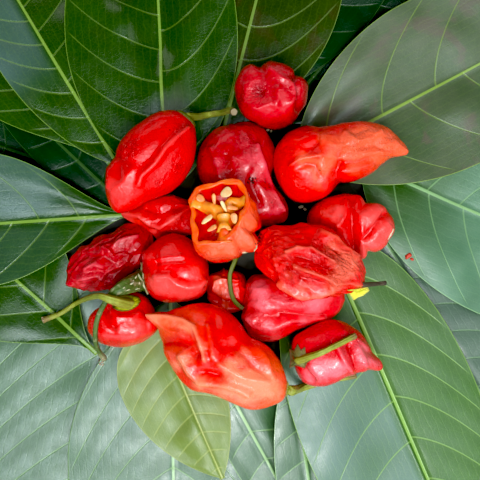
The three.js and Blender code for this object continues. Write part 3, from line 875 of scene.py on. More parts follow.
class Stems(Enum):
    """The stalks, each after its age."""

    FRESH = StemFinish("stem fresh", (0.2, 0.22, 0.02), (0.36, 0.38, 0.06), (0.22, 0.13, 0.05), 0.35)
    OLIVE = StemFinish("stem olive", (0.075, 0.1, 0.008), (0.17, 0.2, 0.02), (0.13, 0.08, 0.03), 0.45)
    DUSTY = StemFinish("stem dusty", (0.05, 0.085, 0.015), (0.11, 0.17, 0.035), (0.4, 0.34, 0.19), 0.6)
    BROWN = StemFinish("stem brown", (0.05, 0.03, 0.018), (0.09, 0.06, 0.035), (0.04, 0.025, 0.015), 0.5)
    CUT = StemFinish("stem cut end", (0.2, 0.15, 0.07), (0.34, 0.25, 0.15), (0.14, 0.08, 0.04), 0.5)
    DRY = StemFinish("stem dry cap", (0.12, 0.14, 0.03), (0.28, 0.28, 0.1), (0.2, 0.1, 0.05), 0.8)
    # its dark brown edge tone is partly the cap's dry edge and partly painted shade of the socket that the
    # cap sinks into
    LIME = StemFinish("stem lime cap", (0.3, 0.32, 0.008), (0.46, 0.46, 0.02), (0.12, 0.04, 0.02), 0.25)
    YELLOW = StemFinish("stem yellow cap", (0.8, 0.74, 0.03), (0.9, 0.86, 0.12), (0.6, 0.5, 0.1), 0.2)


class Flesh(Enum):
    """What shows inside the cut fruit."""

    RIM = FleshFinish("flesh rim", (0.92, 0.045, 0.002), (0.98, 0.17, 0.006), 260.0, coat=0.15)
    WALL = FleshFinish("flesh wall", (0.58, 0.002, 0.001), (0.78, 0.008, 0.002), 200.0, 0.3, 0.3, 0.5)
    RIB = FleshFinish("flesh rib", (0.95, 0.2, 0.006), (0.98, 0.38, 0.04), 300.0)
    SEED = FleshFinish("seed", (0.9, 0.42, 0.15), (0.97, 0.7, 0.36), 300.0, 0.45, 0.1, 0.2)
    WET_SEED = FleshFinish("wet seed", (0.93, 0.19, 0.035), (0.98, 0.42, 0.15), 300.0, 0.4, 0.2, 0.3)


class Palette:
    """Every finish, made into a material when it is first asked for."""

    def __init__(self) -> None:
        """Builds the shared effects."""
        self.effects = Effects()
        self.made: dict[str, Material] = {}

    def get(self, finish: object) -> Material:
        """The material of one finish or of one named option.

        Args:
            finish: The finish or the option.

        Returns:
            The material.
        """
        finish = finish.value if isinstance(finish, Enum) else finish
        if finish.name not in self.made:
            self.made[finish.name] = finish.material(self.effects)
        return self.made[finish.name]


def enlist(piece: Piece, slot: str, *nodes: str) -> None:
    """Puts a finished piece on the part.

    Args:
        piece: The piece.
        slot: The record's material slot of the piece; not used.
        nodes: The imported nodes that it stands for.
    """
    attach(piece, "root")
    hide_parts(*nodes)
    log.info("%s: %d faces", piece.name, len(piece.data.polygons))


def node_points(name: str) -> Array:
    """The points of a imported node, in millimetres.

    Args:
        name: The node's name.

    Returns:
        One row for each point.
    """
    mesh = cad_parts[name].data
    points = np.empty(len(mesh.vertices) * 3)
    mesh.vertices.foreach_get("co", points)
    return points.reshape(-1, 3) / MM


class Ground:
    """What has been built so far, as the ground that a small thing lies on."""

    def __init__(self, eye: Array) -> None:
        """Starts with nothing under the camera."""
        self.eye = eye
        self.trees: list[BVHTree] = []

    def add(self, piece: Piece) -> BVHTree:
        """Adds a finished piece and returns its faces as a tree for rays."""
        tree = BVHTree.FromObject(piece, bpy.context.evaluated_depsgraph_get())
        self.trees.append(tree)
        return tree

    def under(self, place: Place) -> Array:
        """What the camera sees at a place of the plan, measured at the height of the heap's middle."""
        target = np.array([*(self.eye + place), HEAP_MIDDLE])
        hits = [hit for hit in (sight(tree, self.eye, target) for tree in self.trees) if hit is not None]
        return max(hits, key=lambda hit: hit[2])


def sight(tree: BVHTree, eye: Array, target: Array) -> Array | None:
    """The first point of a piece on the line from the camera through a target, if there is one."""
    start = np.array([*eye, EYE_HEIGHT])
    hit = tree.ray_cast(Vector(start * MM), Vector(unit(target - start)))[0]
    return np.array(hit) / MM if hit is not None else None


@dataclass(frozen=True)
class Veins:
    """Side veins of one half of a leaf, in millimetres from its base."""

    first: float = 14.0
    step: float = 14.0
    lean: float = 0.35
    arch: float = 0.014

    def number(self, along: Array, out: Array) -> Array:
        """How many veins lie between the base and a place."""
        return (along - self.lean * out - self.arch * out**2 - self.first) / self.step

    def pitch(self, out: Array) -> Array:
        """The distance from vein to vein, measured across them."""
        return self.step / np.sqrt(1 + (self.lean + 2 * self.arch * out) ** 2)


@dataclass
class Leaf:
    """One leaf: a thin blade that lies where its solid does."""

    node: str
    base: Place
    tip: Place
    left: float
    right: float
    slot: str
    finish: Blades
    widest: float = 0.44
    foot: float = 0.75
    veins_left: Veins = Veins()
    veins_right: Veins = Veins()
    rows: int = 112
    columns: int = 44
    thickness: float = 0.34
    quilt: float = 0.3
    ripple: float = 0.45
    cups: Place = (0.0, 0.0)
    # how strongly a pale sheen is painted on the right and the left half, where along it starts, and the
    # length of its noise
    sheen_shares: Place = (0.0, 0.0)
    sheen_start: float = 0.18
    sheen_length: float = 24.0
    ripple_length: float = 21.0
    wave: float = 0.9
    wave_length: float = 45.0
    rib: float = 0.12

    def share(self, along: Array) -> Array:
        """Half width as a share of the greatest, from base 0 to tip 1.

        Args:
            along: Where it is read.

        Returns:
            The share at each place.
        """
        opening = (1 - (1 - np.minimum(along / self.widest, 1)) ** 2) ** self.foot
        beyond = np.clip((along - self.widest) / (1 - self.widest), 0, 1)
        closing = (1 - beyond**BLADE_SIDES) ** BLADE_TIP
        return np.where(along < self.widest, opening, closing)

    def plan(self, along: Array, across: Array) -> Array:
        """Places in the plan, before the whole part is centred.

        Args:
            along: From base 0 to tip 1.
            across: From the right margin -1 to the left one 1.

        Returns:
            The places, with a last axis of two.
        """
        way = np.subtract(self.tip, self.base)
        left = unit(np.array([-way[1], way[0]]))
        side = np.where(across < 0, self.right, self.left)
        out = across * np.maximum(self.share(along) * side, STUB)
        return np.array(self.base) + along[..., None] * way + out[..., None] * left

    def corners(self) -> Array:
        """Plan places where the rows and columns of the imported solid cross."""
        return self.plan(*crossed(np.linspace(0, 1, BLADE_STEPS + 1), np.linspace(-1, 1, BLADE_COLUMNS + 1)))

    def across(self) -> Array:
        """Where the columns lie, from the right margin -1 to the left one 1, closer at the midrib.

        Returns:
            One place for each column.
        """
        half = np.linspace(0, 1, self.columns // 2 + 1)
        half = np.append(0.4 * half + 0.6 * half**1.7, 1.0)
        half[-2] = 0.992
        return np.concatenate([-half[:0:-1], half])

    def heights(self, shift: Array) -> Array:
        """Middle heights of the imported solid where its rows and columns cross.

        Args:
            shift: How far the part was moved to centre it.

        Returns:
            One height for each crossing.
        """
        points = node_points(self.node)
        spots = self.corners()
        away = np.linalg.norm(points[:, None, :2] - (spots + shift).reshape(1, -1, 2), axis=2)
        near = away < away.min(axis=0) + 0.05
        tall = np.where(near, points[:, 2:3], -np.inf).max(axis=0)
        low = np.where(near, points[:, 2:3], np.inf).min(axis=0)
        return ((tall + low) / 2).reshape(spots.shape[:2])

    def build(self, shift: Array, palette: Palette, seed: int) -> Piece:
        """Makes the blade.

        Args:
            shift: How far the part was moved to centre it.
            palette: Where the finishes come from.
            seed: The leaf's own number for its unevenness.

        Returns:
            The blade.
        """
        noise = Noise(seed)
        along, across = np.linspace(0, 1, self.rows + 1), self.across()
        t, c = crossed(along, across)
        width = np.maximum(self.share(t) * np.where(c < 0, self.right, self.left), STUB)
        out = np.abs(c) * width
        plan = self.plan(t, c) + shift
        flat = np.dstack([plan, np.zeros_like(t)])
        halves = (self.veins_right, self.veins_left)
        numbers = [veins.number(t * math.dist(self.base, self.tip), out) for veins in halves]
        z = (spline_weights(along * BLADE_STEPS, BLADE_STEPS + 1) @ self.heights(shift)
             @ spline_weights((across + 1) / 2 * BLADE_COLUMNS, BLADE_COLUMNS + 1).T)
        z += 2 * self.ripple * smooth(np.abs(c), 0.55, 1.0) * noise.at(flat, self.ripple_length)
        z += self.wave * noise.at(flat, self.wave_length)
        for cup, half_blade in zip(self.cups, (c < 0, c >= 0)):
            bent = abs(cup) * (out if cup > 0 else 0.5 * (width - out))
            z += half_blade * bent * smooth(t, 0.04, 0.22) * smooth(t, 1.0, 0.8)
        fade = smooth(out, 0.0, 4.0) * smooth(width - out, -1.0, 4.0)
        z += self.quilt * fade * (np.abs(np.sin(np.pi * np.where(c < 0, *numbers))) ** 0.9 - 0.6)
        rib = np.exp(-(out / (0.9 + 0.9 * (1 - t))) ** 2)
        top = z + self.thickness / 2 + self.rib * rib - 0.3 * smooth(out, 4.0, 0.8) * (1 - rib)
        bottom = z - self.thickness / 2 - (0.75 - 0.5 * t) * rib
        # where the pale sheen is painted: in noisy patches, away from the midrib and past the foot
        blade_sheen = (0.8 + 0.7 * noise.at(flat, self.sheen_length)) * smooth(out, 0, 5)
        blade_sheen *= smooth(t, self.sheen_start, self.sheen_start + 0.14)
        upper = np.arange(z.size).reshape(z.shape)
        lower = upper + z.size
        sheet = Sheet([np.vstack([np.dstack([plan, level]).reshape(-1, 3) for level in (top, bottom)])])
        middle = len(across) // 2
        for side, (low, high) in enumerate(((0, middle), (middle, len(across) - 1))):
            part, margin = np.s_[:, low:high + 1], -1 if side else 0
            over, under = upper[part], lower[part]
            edges = ((over[0], under[0]), (over[-1, ::-1], under[-1, ::-1]),
                     (upper[::1 if side else -1, margin], lower[::1 if side else -1, margin]))
            faces = [quads(over), quads(under)[:, ::-1], np.vstack([rim_quads(*edge) for edge in edges])]
            maps = {"vein_map": (numbers[side], out),
                    "size_map": (halves[side].pitch(out), width - out),
                    # the second coordinate of the blade map is the painted sheen's strength
                    "blade_map": (t, np.clip(blade_sheen * self.sheen_shares[side], 0, 1))}
            sheet.join(faces, [0, 1, 0], {name: np.tile(np.dstack(values).reshape(-1, 2), (2, 1))
                                          for name, values in maps.items()})
        blade = sheet.build(self.node.replace("leaf", "blade"),
                            [palette.get(self.finish), palette.get(UNDERSIDE)])
        enlist(blade, self.slot, self.node)
        return blade


@dataclass(frozen=True)
class Wrinkles:
    """How uneven a skin is all over, in millimetres."""

    wave: float = 0.5
    wave_length: float = 15.0
    crinkle: float = 0.2
    crinkle_length: float = 6.0
    stretch: float = 0.6
    fine: float = 0.04
    fine_length: float = 1.6
    warp: float = 1.5
    warp_length: float = 9.0
    crease: float = 0.55
    crease_length: float = 3.0


@dataclass
class Fruit:
    """One fruit: its skin as a closed form with the lobes, folds and wrinkles of its own."""

    node: str
    stalk: Point
    tip: Point
    width: float
    widest: float
    shoulder: float
    point: float
    lobes: int
    lobe: float
    slot: str
    finish: Skins
    bow: float = 0.0
    flat: float = 0.94
    swells: tuple[Swell, ...] = ()
    wrinkles: Wrinkles = Wrinkles()
    folds: tuple[Fold, ...] = ()
    bulges: tuple[Spot, ...] = ()
    crinkles: tuple[Spot, ...] = ()
    # spots where a pale sheen is painted on the skin's upper side
    sheen_spots: tuple[Spot, ...] = ()
    outline: Line = ()
    rings: int = 96
    sides: int = 128
    seat: Array = field(default_factory=lambda: np.zeros(3))
    eye: Array = field(default_factory=lambda: np.zeros(2))
    noise: Noise | None = None
    bearings: Array | None = None
    plain: Array | None = None
    wanted: Array | None = None
    tree: BVHTree | None = None

    def share(self, t: Array) -> Array:
        """Radius as a share of the greatest, from stalk end 0 to tip 1."""
        x = np.where(t < self.widest, 1 - t / self.widest, (t - self.widest) / (1 - self.widest))
        fullness = np.where(t < self.widest, self.shoulder, self.point)
        return np.clip(1 - np.clip(x, 0, 1) ** fullness, 0, 1) ** (1 / fullness)

    def axes(self) -> tuple[Array, Array, Array]:
        """Directions to the fruit's left, to its upper side and to its tip."""
        forward = unit(np.subtract(self.tip, self.stalk).astype(float))
        side = unit(np.array([-forward[1], forward[0], 0.0]))
        return side, np.cross(forward, side), forward

    def middle(self, t: Array, grow: Array | float = 0.0) -> Array:
        """Places on the bent axis; grow moves the two ends out.

        Args:
            t: How far along the fruit they are, from stalk end 0 to tip 1.
            grow: How far out the ends are moved.

        Returns:
            The places.
        """
        side, _, forward = self.axes()
        t = np.asarray(t, float)[..., None]
        way = np.subtract(self.tip, self.stalk)
        bent = np.array(self.stalk) + t * way + self.bow * 4 * t * (1 - t) * side
        return bent - np.asarray(grow)[..., None] * np.cos(np.pi * t) * forward + self.seat

    def surface(self, t: Array, turn: Array, grow: Array | float = 0.0) -> Array:
        """Places on the plain form.

        Args:
            t: How far along the fruit they are, from stalk end 0 to tip 1.
            turn: Where round it, in radians.
            grow: How far out they are moved.

        Returns:
            The places.
        """
        side, upper, _ = self.axes()
        share = self.share(t)
        lobe = 1 + self.lobe * np.cos(self.lobes * (turn + LOBE_TWIST * t) - np.pi / 2)
        radius = 0.5 * self.width * share * lobe
        for along, degrees, reach, depth in self.swells:
            narrow = SWELL_NARROW * (np.cos(turn - math.radians(degrees)) - 1)
            radius = radius + share * depth * np.exp(-((t - along) / reach) ** 2 + narrow)
        radius = radius + grow * share
        around = np.cos(turn)[..., None] * side + self.flat * np.sin(turn)[..., None] * upper
        return self.middle(t, grow) + radius[..., None] * around

    def coarse_box(self) -> tuple[Array, Array]:
        """The box of the fruit's plain solid before it was laid.

        Returns:
            Its lowest and its highest corner.
        """
        rings = (1 - np.cos(np.pi * np.arange(COARSE_STEPS + 1) / COARSE_STEPS)) / 2
        turns = circle(COARSE_SIDES)
        points = self.surface(*crossed(rings, turns)).reshape(-1, 3)
        return points.min(axis=0), points.max(axis=0)

    def settle(self) -> None:
        """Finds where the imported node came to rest."""
        self.seat = np.zeros(3)
        low, high = self.coarse_box()
        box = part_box(self.node)
        self.seat = (np.array(box[0]) + np.array(box[1])) / 2 / MM - (low + high) / 2

    def plan_middle(self) -> Array:
        """The middle of the fruit as seen from above, from which folds are placed."""
        low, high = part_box(self.node)
        return (np.array(low) + np.array(high)) / 2 / MM

    def seen(self, points: Array) -> Array:
        """Places from the fruit's middle, as the camera sees them at the height of the middle."""
        middle = self.plan_middle()
        nearer = (EYE_HEIGHT - middle[2]) / (EYE_HEIGHT - points[..., 2:])
        return self.eye + (points[..., :2] - self.eye) * nearer - middle[:2]

    def unseen(self, offset: Array, level: Array | float) -> Array:
        """The place in the part's plan, at a height, of an offset as the camera sees it."""
        middle = self.plan_middle()
        nearer = (EYE_HEIGHT - middle[2]) / (EYE_HEIGHT - np.asarray(level)[..., None])
        return self.eye + (offset + middle[:2] - self.eye) / nearer

    def trace(self) -> None:
        """Finds how far the plain form and the outline reach in each direction of the plan."""
        if not self.outline:
            return
        t, turn = crossed(np.linspace(0.002, 0.998, 240), circle(256))
        corners = pairs(self.outline + self.outline[:2])
        closed = np.vstack([corners[-2:-1], corners, corners[1:2]])
        line = smooth_line(closed, 40 * (len(closed) - 1) + 1)[40:-40]
        self.bearings = circle(BEARINGS)
        reaches = []
        for places in (self.seen(self.surface(t, turn)).reshape(-1, 2), line):
            bearing = np.arctan2(places[:, 1], places[:, 0]) % (2 * np.pi)
            number = np.round(bearing / (2 * np.pi) * BEARINGS).astype(int) % BEARINGS
            reach = np.zeros(BEARINGS)
            np.maximum.at(reach, number, np.linalg.norm(places, axis=1))
            known = reach > 0
            reaches.append(np.interp(self.bearings, self.bearings[known], reach[known], period=2 * np.pi))
        self.plain, self.wanted = smooth_round(reaches[0]), smooth_round(reaches[1])

    def shaped(self, points: Array) -> Array:
        """The points, moved in the plan so that the form fills the fruit's outline.

        Args:
            points: Places on the plain form.

        Returns:
            The places on the fruit's own form.
        """
        if not self.outline:
            return points
        offset = self.seen(points)
        bearing = np.arctan2(offset[..., 1], offset[..., 0]) % (2 * np.pi)
        plain, wanted = (np.interp(bearing, self.bearings, reach, period=2 * np.pi)
                         for reach in (self.plain, self.wanted))
        share = smooth(np.linalg.norm(offset, axis=-1) / plain, 0.1, 0.95)
        factor = 1 + (wanted / plain - 1) * share
        plan = self.unseen(offset * factor[..., None], points[..., 2])
        return np.concatenate([plan, points[..., 2:]], axis=-1)

    def relief(self, t: Array, turn: Array) -> Array:
        """How far the skin stands out from the plain form.

        Args:
            t: How far along the fruit, from stalk end 0 to tip 1.
            turn: Where round it, in radians.

        Returns:
            The height of the skin at each place.
        """
        spots = self.surface(t, turn)
        side, upper, forward = self.axes()
        local = spots - self.plan_middle()
        plan = self.seen(self.shaped(spots))
        looks = self.wrinkles
        own = np.stack([local @ forward * looks.stretch, local @ side, local @ upper], axis=-1)
        warp = own + looks.warp * np.stack([self.noise.at(own + far, looks.warp_length)
                                            for far in WARP_PLACES], axis=-1)
        rise = looks.wave * 2.4 * self.noise.at(own, looks.wave_length)
        rise += looks.crinkle * (self.noise.ridged(warp, looks.crinkle_length) * 1.6 - 0.6)
        rise += looks.crinkle * 0.45 * (self.noise.ridged(warp * 2.1 + 9, looks.crinkle_length) - 0.4)
        rise += looks.fine * self.noise.at(spots + 50, looks.fine_length)
        own_forms = patchy(plan, self.bulges)
        for width, height, *line in self.folds:
            own_forms += height * np.exp(-(distance_to(plan, line) / width) ** 1.5)
        creases = self.noise.ridged(warp * (1.0, 1.6, 1.6), looks.crease_length) - 0.35
        own_forms += looks.crease * patchy(plan, self.crinkles) * creases
        return rise + smooth(local[..., 2], -3.0, 3.0) * own_forms

    def tones(self, points: Array) -> Array:
        """How crinkled the skin is, and how strongly a pale sheen is painted on its upper side, at each of
        its places.
        """
        plan = self.seen(points)
        above = smooth(points[..., 2] - self.plan_middle()[2], -4.0, 2.0)
        return np.stack([patchy(plan, spots) * above for spots in (self.crinkles, self.sheen_spots)], axis=-1)

    def skin(self, t: Array, turn: Array, grow: Array | float = 0.0) -> Array:
        """Places on the finished skin, moved out by grow."""
        return self.shaped(self.surface(t, turn, self.relief(t, turn) + grow))

    def build(self, palette: Palette, seed: int) -> Piece:
        """Makes the fruit.

        Args:
            palette: Where the finishes come from.
            seed: The fruit's own number for its unevenness.

        Returns:
            The fruit.
        """
        self.noise = Noise(seed)
        self.settle()
        self.trace()
        rings = (1 - np.cos(np.pi * np.arange(1, self.rings) / self.rings)) / 2
        t, turn = crossed(rings, circle(self.sides))
        relief = self.relief(t, turn)
        sheet = Sheet()
        points = self.shaped(self.surface(t, turn, relief))
        sheet.grid(points, maps={"skin_map": np.dstack([relief, t]), "crease_sheen_map": self.tones(points)})
        fruit = sheet.build(self.node.replace("pod", "fruit"), [palette.get(self.finish)])
        enlist(fruit, self.slot, self.node)
        return fruit


@dataclass(frozen=True)
class Seed:
    """One flat seed: its place from the middle of the cut fruit, its turn and its size."""

    place: Place
    depth: float
    turn: float
    length: float = 4.0
    width: float = 2.4
    lean: float = 0.2
    roll: float = 0.0
    finish: int = 3


@dataclass(frozen=True)
class Rib:
    """One wavy rib inside the cut fruit: its course in the plan, and how it stands."""

    line: Line
    top: float
    depth: float = 9.0
    thickness: float = 1.5
    finish: int = 0


@dataclass
class CutFruit(Fruit):
    """The fruit that is cut across: its wall, its rim, its ribs and its seeds."""

    core: str = "pod_cut_core"
    opening: Line = ()
    ribs: tuple[Rib, ...] = ()
    seeds: tuple[Seed, ...] = ()
    wave: float = 0.7
    waist: float = 0.22
    hold: float = 2.2
    rim_steps: int = 9

    def settle(self) -> None:
        """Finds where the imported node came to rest, from the corners that the cut leaves."""
        self.seat = np.zeros(3)
        low, high = self.coarse_box()
        box_low, box_high = (np.array(corner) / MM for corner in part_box(self.node))
        self.seat = np.array([box_high[0] - high[0], box_low[1] - low[1], box_low[2] - low[2]])

    def on_cut(self, place: Place, lift: float = 0.0) -> Array:
        """A place of the plan, from the fruit's middle, on the plane of the cut or above it.

        Args:
            place: The place, from the fruit's middle.
            lift: How far above the cut it is.

        Returns:
            The place in space.
        """
        cut = self.middle(CUT_ALONG)
        spot = self.plan_middle()[:2] + place
        level = cut[2] - ((spot - cut[:2]) @ CUT_FACING[:2]) / CUT_FACING[2]
        return np.array([*spot, level + lift])

    def cut_along(self, turns: Array, grow: float) -> Array:
        """For each turn, the share of the fruit's length at which a layer meets the cut.

        Args:
            turns: Where round the fruit.
            grow: How far the layer is from the plain form.

        Returns:
            The share at each turn.
        """
        steps = np.linspace(0.1, 0.999, 160)
        t, turn = crossed(steps, turns)
        beyond = (self.surface(t, turn, grow) - self.middle(CUT_ALONG)) @ CUT_FACING > 0
        first = np.where(beyond.any(axis=0), np.argmax(beyond, axis=0), len(steps) - 1)
        return smooth_round(steps[first])

    def edge(self, turns: Array) -> Array:
        """The outer edge of the opening at each turn.

        Args:
            turns: Where round the fruit.

        Returns:
            One place for each turn.
        """
        side, upper, _ = self.axes()
        spots = np.array([self.on_cut(place) for place in pairs(self.opening)])
        away = spots - self.middle(CUT_ALONG)
        places = np.arctan2(away @ upper / self.flat, away @ side) % (2 * np.pi)
        ring = smooth_round(np.stack([np.interp(turns, places, axis, period=2 * np.pi)
                                      for axis in spots.T], axis=1))
        wave = 0.6 * np.sin(3 * turns + 0.8) + 0.4 * np.sin(8 * turns + 2.0)
        return ring + self.wave * wave[:, None] * CUT_FACING

    def wall(self, turns: Array, edge: Array, grow: float, bumps: float, rings: int,
             start: float = 0.015, floor: float = 0.0) -> tuple[Array, Array, Array]:
        """A layer of the wall, drawn in to the opening's edge.

        Args:
            turns: Where round the fruit.
            edge: Where the layer ends at each turn.
            grow: How far the layer is from the plain form.
            bumps: How much of the skin's unevenness it has.
            rings: How many rings it has.
            start: Where its first ring lies on the way to the edge.
            floor: How far it is drawn in there.

        Returns:
            Its points from the stalk end to the edge, its relief and its place along the fruit.
        """
        ends = self.cut_along(turns, grow)
        steps = np.linspace(start, 1, rings)
        share = (1 - np.cos(np.pi * steps)) / 2
        deep = floor * ((1 - steps) / (1 - start)) ** 2.5
        t = share[:, None] * ends
        turn = np.broadcast_to(turns, t.shape)
        relief = self.relief(t, turn) * bumps
        points = self.shaped(self.surface(t, turn, relief + grow - deep[:, None]))
        drawn = np.clip((t - self.waist) / (ends - self.waist), 0, 1) ** self.hold
        return points + drawn[..., None] * (edge - points[-1]), relief, t

    def build(self, palette: Palette, seed: int) -> Piece:
        """Makes the wall with its rim, and what the fruit holds.

        Args:
            palette: Where the finishes come from.
            seed: The fruit's own number for its unevenness.

        Returns:
            The wall with its rim.
        """
        self.noise = Noise(seed)
        self.settle()
        self.trace()
        turns = circle(self.sides)
        edge = self.edge(turns)
        skin, relief, t_out = self.wall(turns, edge, 0.0, 1.0, 70)
        tangent = unit(np.roll(edge, -2, axis=0) - np.roll(edge, 2, axis=0))
        inward = smooth_round(unit(np.cross(CUT_FACING, tangent)))
        inward *= np.sign(((edge.mean(axis=0) - edge) * inward).sum(axis=1).mean())
        thick = WALL * (1.05 + 0.24 * np.sin(5 * turns + 1) + 0.16 * np.sin(11 * turns))
        inner_edge = smooth_round(smooth_round(edge + thick[:, None] * inward)) - 0.15 * CUT_FACING
        lining, _, t_in = self.wall(turns, inner_edge, -WALL, 0.7, 50, 0.5, 9.0)
        lining, t_in = lining[::-1], t_in[::-1]
        shares = np.linspace(0, 1, self.rim_steps + 2)[1:-1, None, None]
        rim = edge * (1 - shares) + inner_edge * shares
        rim = rim + (0.5 * np.sin(np.pi * shares) ** 0.5) * CUT_FACING
        rim = rim + 0.22 * self.noise.at(rim, 1.7)[..., None] * CUT_FACING
        rows = np.concatenate([skin, rim, lining])
        flat = np.concatenate([np.dstack([relief, t_out / t_out[-1]]), np.zeros((*rim.shape[:2], 2)),
                               np.dstack([np.zeros_like(t_in), t_in])])
        sheet = Sheet()
        sheet.grid(rows, np.repeat([0, 1, 2], [len(skin), len(rim), len(lining) - 1]),
                   {"skin_map": flat, "crease_sheen_map": self.tones(rows)})
        fruit = sheet.build("fruit_cut", [palette.get(self.finish), palette.get(Flesh.RIM),
                                          palette.get(Flesh.WALL)])
        enlist(fruit, self.slot, self.node)
        self.build_core(palette)
        return fruit

    def build_core(self, palette: Palette) -> Piece:
        """Makes the column with its ribs to the wall, and the seeds.

        Args:
            palette: Where the finishes come from.

        Returns:
            The column.
        """
        side, upper, _ = self.axes()
        top, foot = self.on_cut((-1.0, 1.0), -1.4), self.middle(0.12)
        sheet = Sheet()
        turns = circle(36)
        around = np.cos(turns)[:, None] * side + np.sin(turns)[:, None] * upper
        rows = []
        for level in np.linspace(0, 1, 30):
            closing = math.sqrt(max(1 - (max(level - 0.78, 0) / 0.23) ** 2, 0.0))
            radius = (1.6 + 1.7 * level + 0.4 * math.sin(level * 11)) * closing
            uneven = 1 + 0.2 * np.sin(3 * turns + 2 * level)[:, None]
            rows.append(foot + (top - foot) * level + max(radius, 0.05) * uneven * around)
        sheet.grid(self.roughened(np.array(rows), 0.5, 2.2))
        for rib in self.ribs:
            self.add_rib(sheet, rib)
        for seed in self.seeds:
            self.add_seed(sheet, seed)
        finishes = (Flesh.RIB, Flesh.SEED, Flesh.RIM, Flesh.WET_SEED)
        core = sheet.build("fruit_cut_core", [palette.get(finish) for finish in finishes])
        enlist(core, "flesh", self.core)
        return core

    def roughened(self, rows: Array, much: float, length: float) -> Array:
        """The rings of a form, pushed in and out by noise.

        Args:
            rows: The rings.
            much: How far they are pushed at most.
            length: How far apart the bumps are.

        Returns:
            The rings after it.
        """
        out = unit(rows - rows.mean(axis=1, keepdims=True) + 1e-6)
        return rows + much * self.noise.at(rows, length)[..., None] * out

    def add_rib(self, sheet: Sheet, rib: Rib) -> None:
        """Adds one wavy rib with a round top.

        Args:
            sheet: The form that the rib becomes part of.
            rib: Its course and its size.
        """
        _, _, forward = self.axes()
        line = smooth_line(np.array([self.on_cut(place, rib.top) for place in pairs(rib.line)]), 26)
        way = unit(np.gradient(line, axis=0))
        across = unit(np.cross(forward, way))
        angle = circle(26)
        steps = np.linspace(0, 1, len(line))
        dip = 0.5 * np.sin(steps * 9 + rib.depth)
        rows = []
        for step, centre, sideways, low in zip(steps, line, across, dip):
            thick = rib.thickness / 2 * (1 + 0.5 * (2 * step - 1) ** 2)
            tall = rib.depth / 2 * (0.16 + 0.84 * float(smooth(step, 0.0, 0.7)))
            wide = np.sign(np.cos(angle)) * np.abs(np.cos(angle)) ** 0.7 * thick
            high = np.sin(angle) * tall
            ring = wide[:, None] * sideways + high[:, None] * forward
            rows.append(centre + (low - tall) * forward + ring)
        sheet.grid(self.roughened(np.array(rows), 0.35, 2.0), rib.finish)

    def add_seed(self, sheet: Sheet, seed: Seed) -> None:
        """Adds one flat seed with a thick rim and a small point.

        Args:
            sheet: The form that the seed becomes part of.
            seed: The seed's place and size.
        """
        place = self.on_cut(seed.place, seed.depth)
        latitude, turn = crossed(np.linspace(0, np.pi, 15)[1:-1], circle(22))
        flat = 0.6 * (1 - 0.45 * np.exp(-((latitude - np.pi / 2) / 0.55) ** 2))
        along = -np.cos(latitude) * seed.length / 2
        wide = np.sin(latitude) ** 0.8 * seed.width / 2 * (1 - 0.28 * np.cos(latitude))
        local = np.dstack([along, wide * np.cos(turn), np.sin(latitude) * flat * np.sin(turn)])
        angle = math.radians(seed.turn)
        way = unit(np.array([math.cos(angle), math.sin(angle), seed.lean]))
        left = unit(np.cross(CUT_FACING, way))
        tilt = math.radians(seed.roll)
        left, up = (math.cos(tilt) * left + math.sin(tilt) * np.cross(way, left),
                    math.cos(tilt) * np.cross(way, left) - math.sin(tilt) * left)
        rows = place + local[..., :1] * way + local[..., 1:2] * left + local[..., 2:] * up
        sheet.grid(self.roughened(rows, 0.12, 1.3), seed.finish)


def stem_map(along: Array | float, turn: Array | float, rows: Array) -> dict[str, Array]:
    """The flat map of a stalk's finish for rings of points, from shares along and turns round it."""
    return {"stem_map": np.dstack([np.broadcast_to(values, rows.shape[:2]) for values in (along, turn)])}


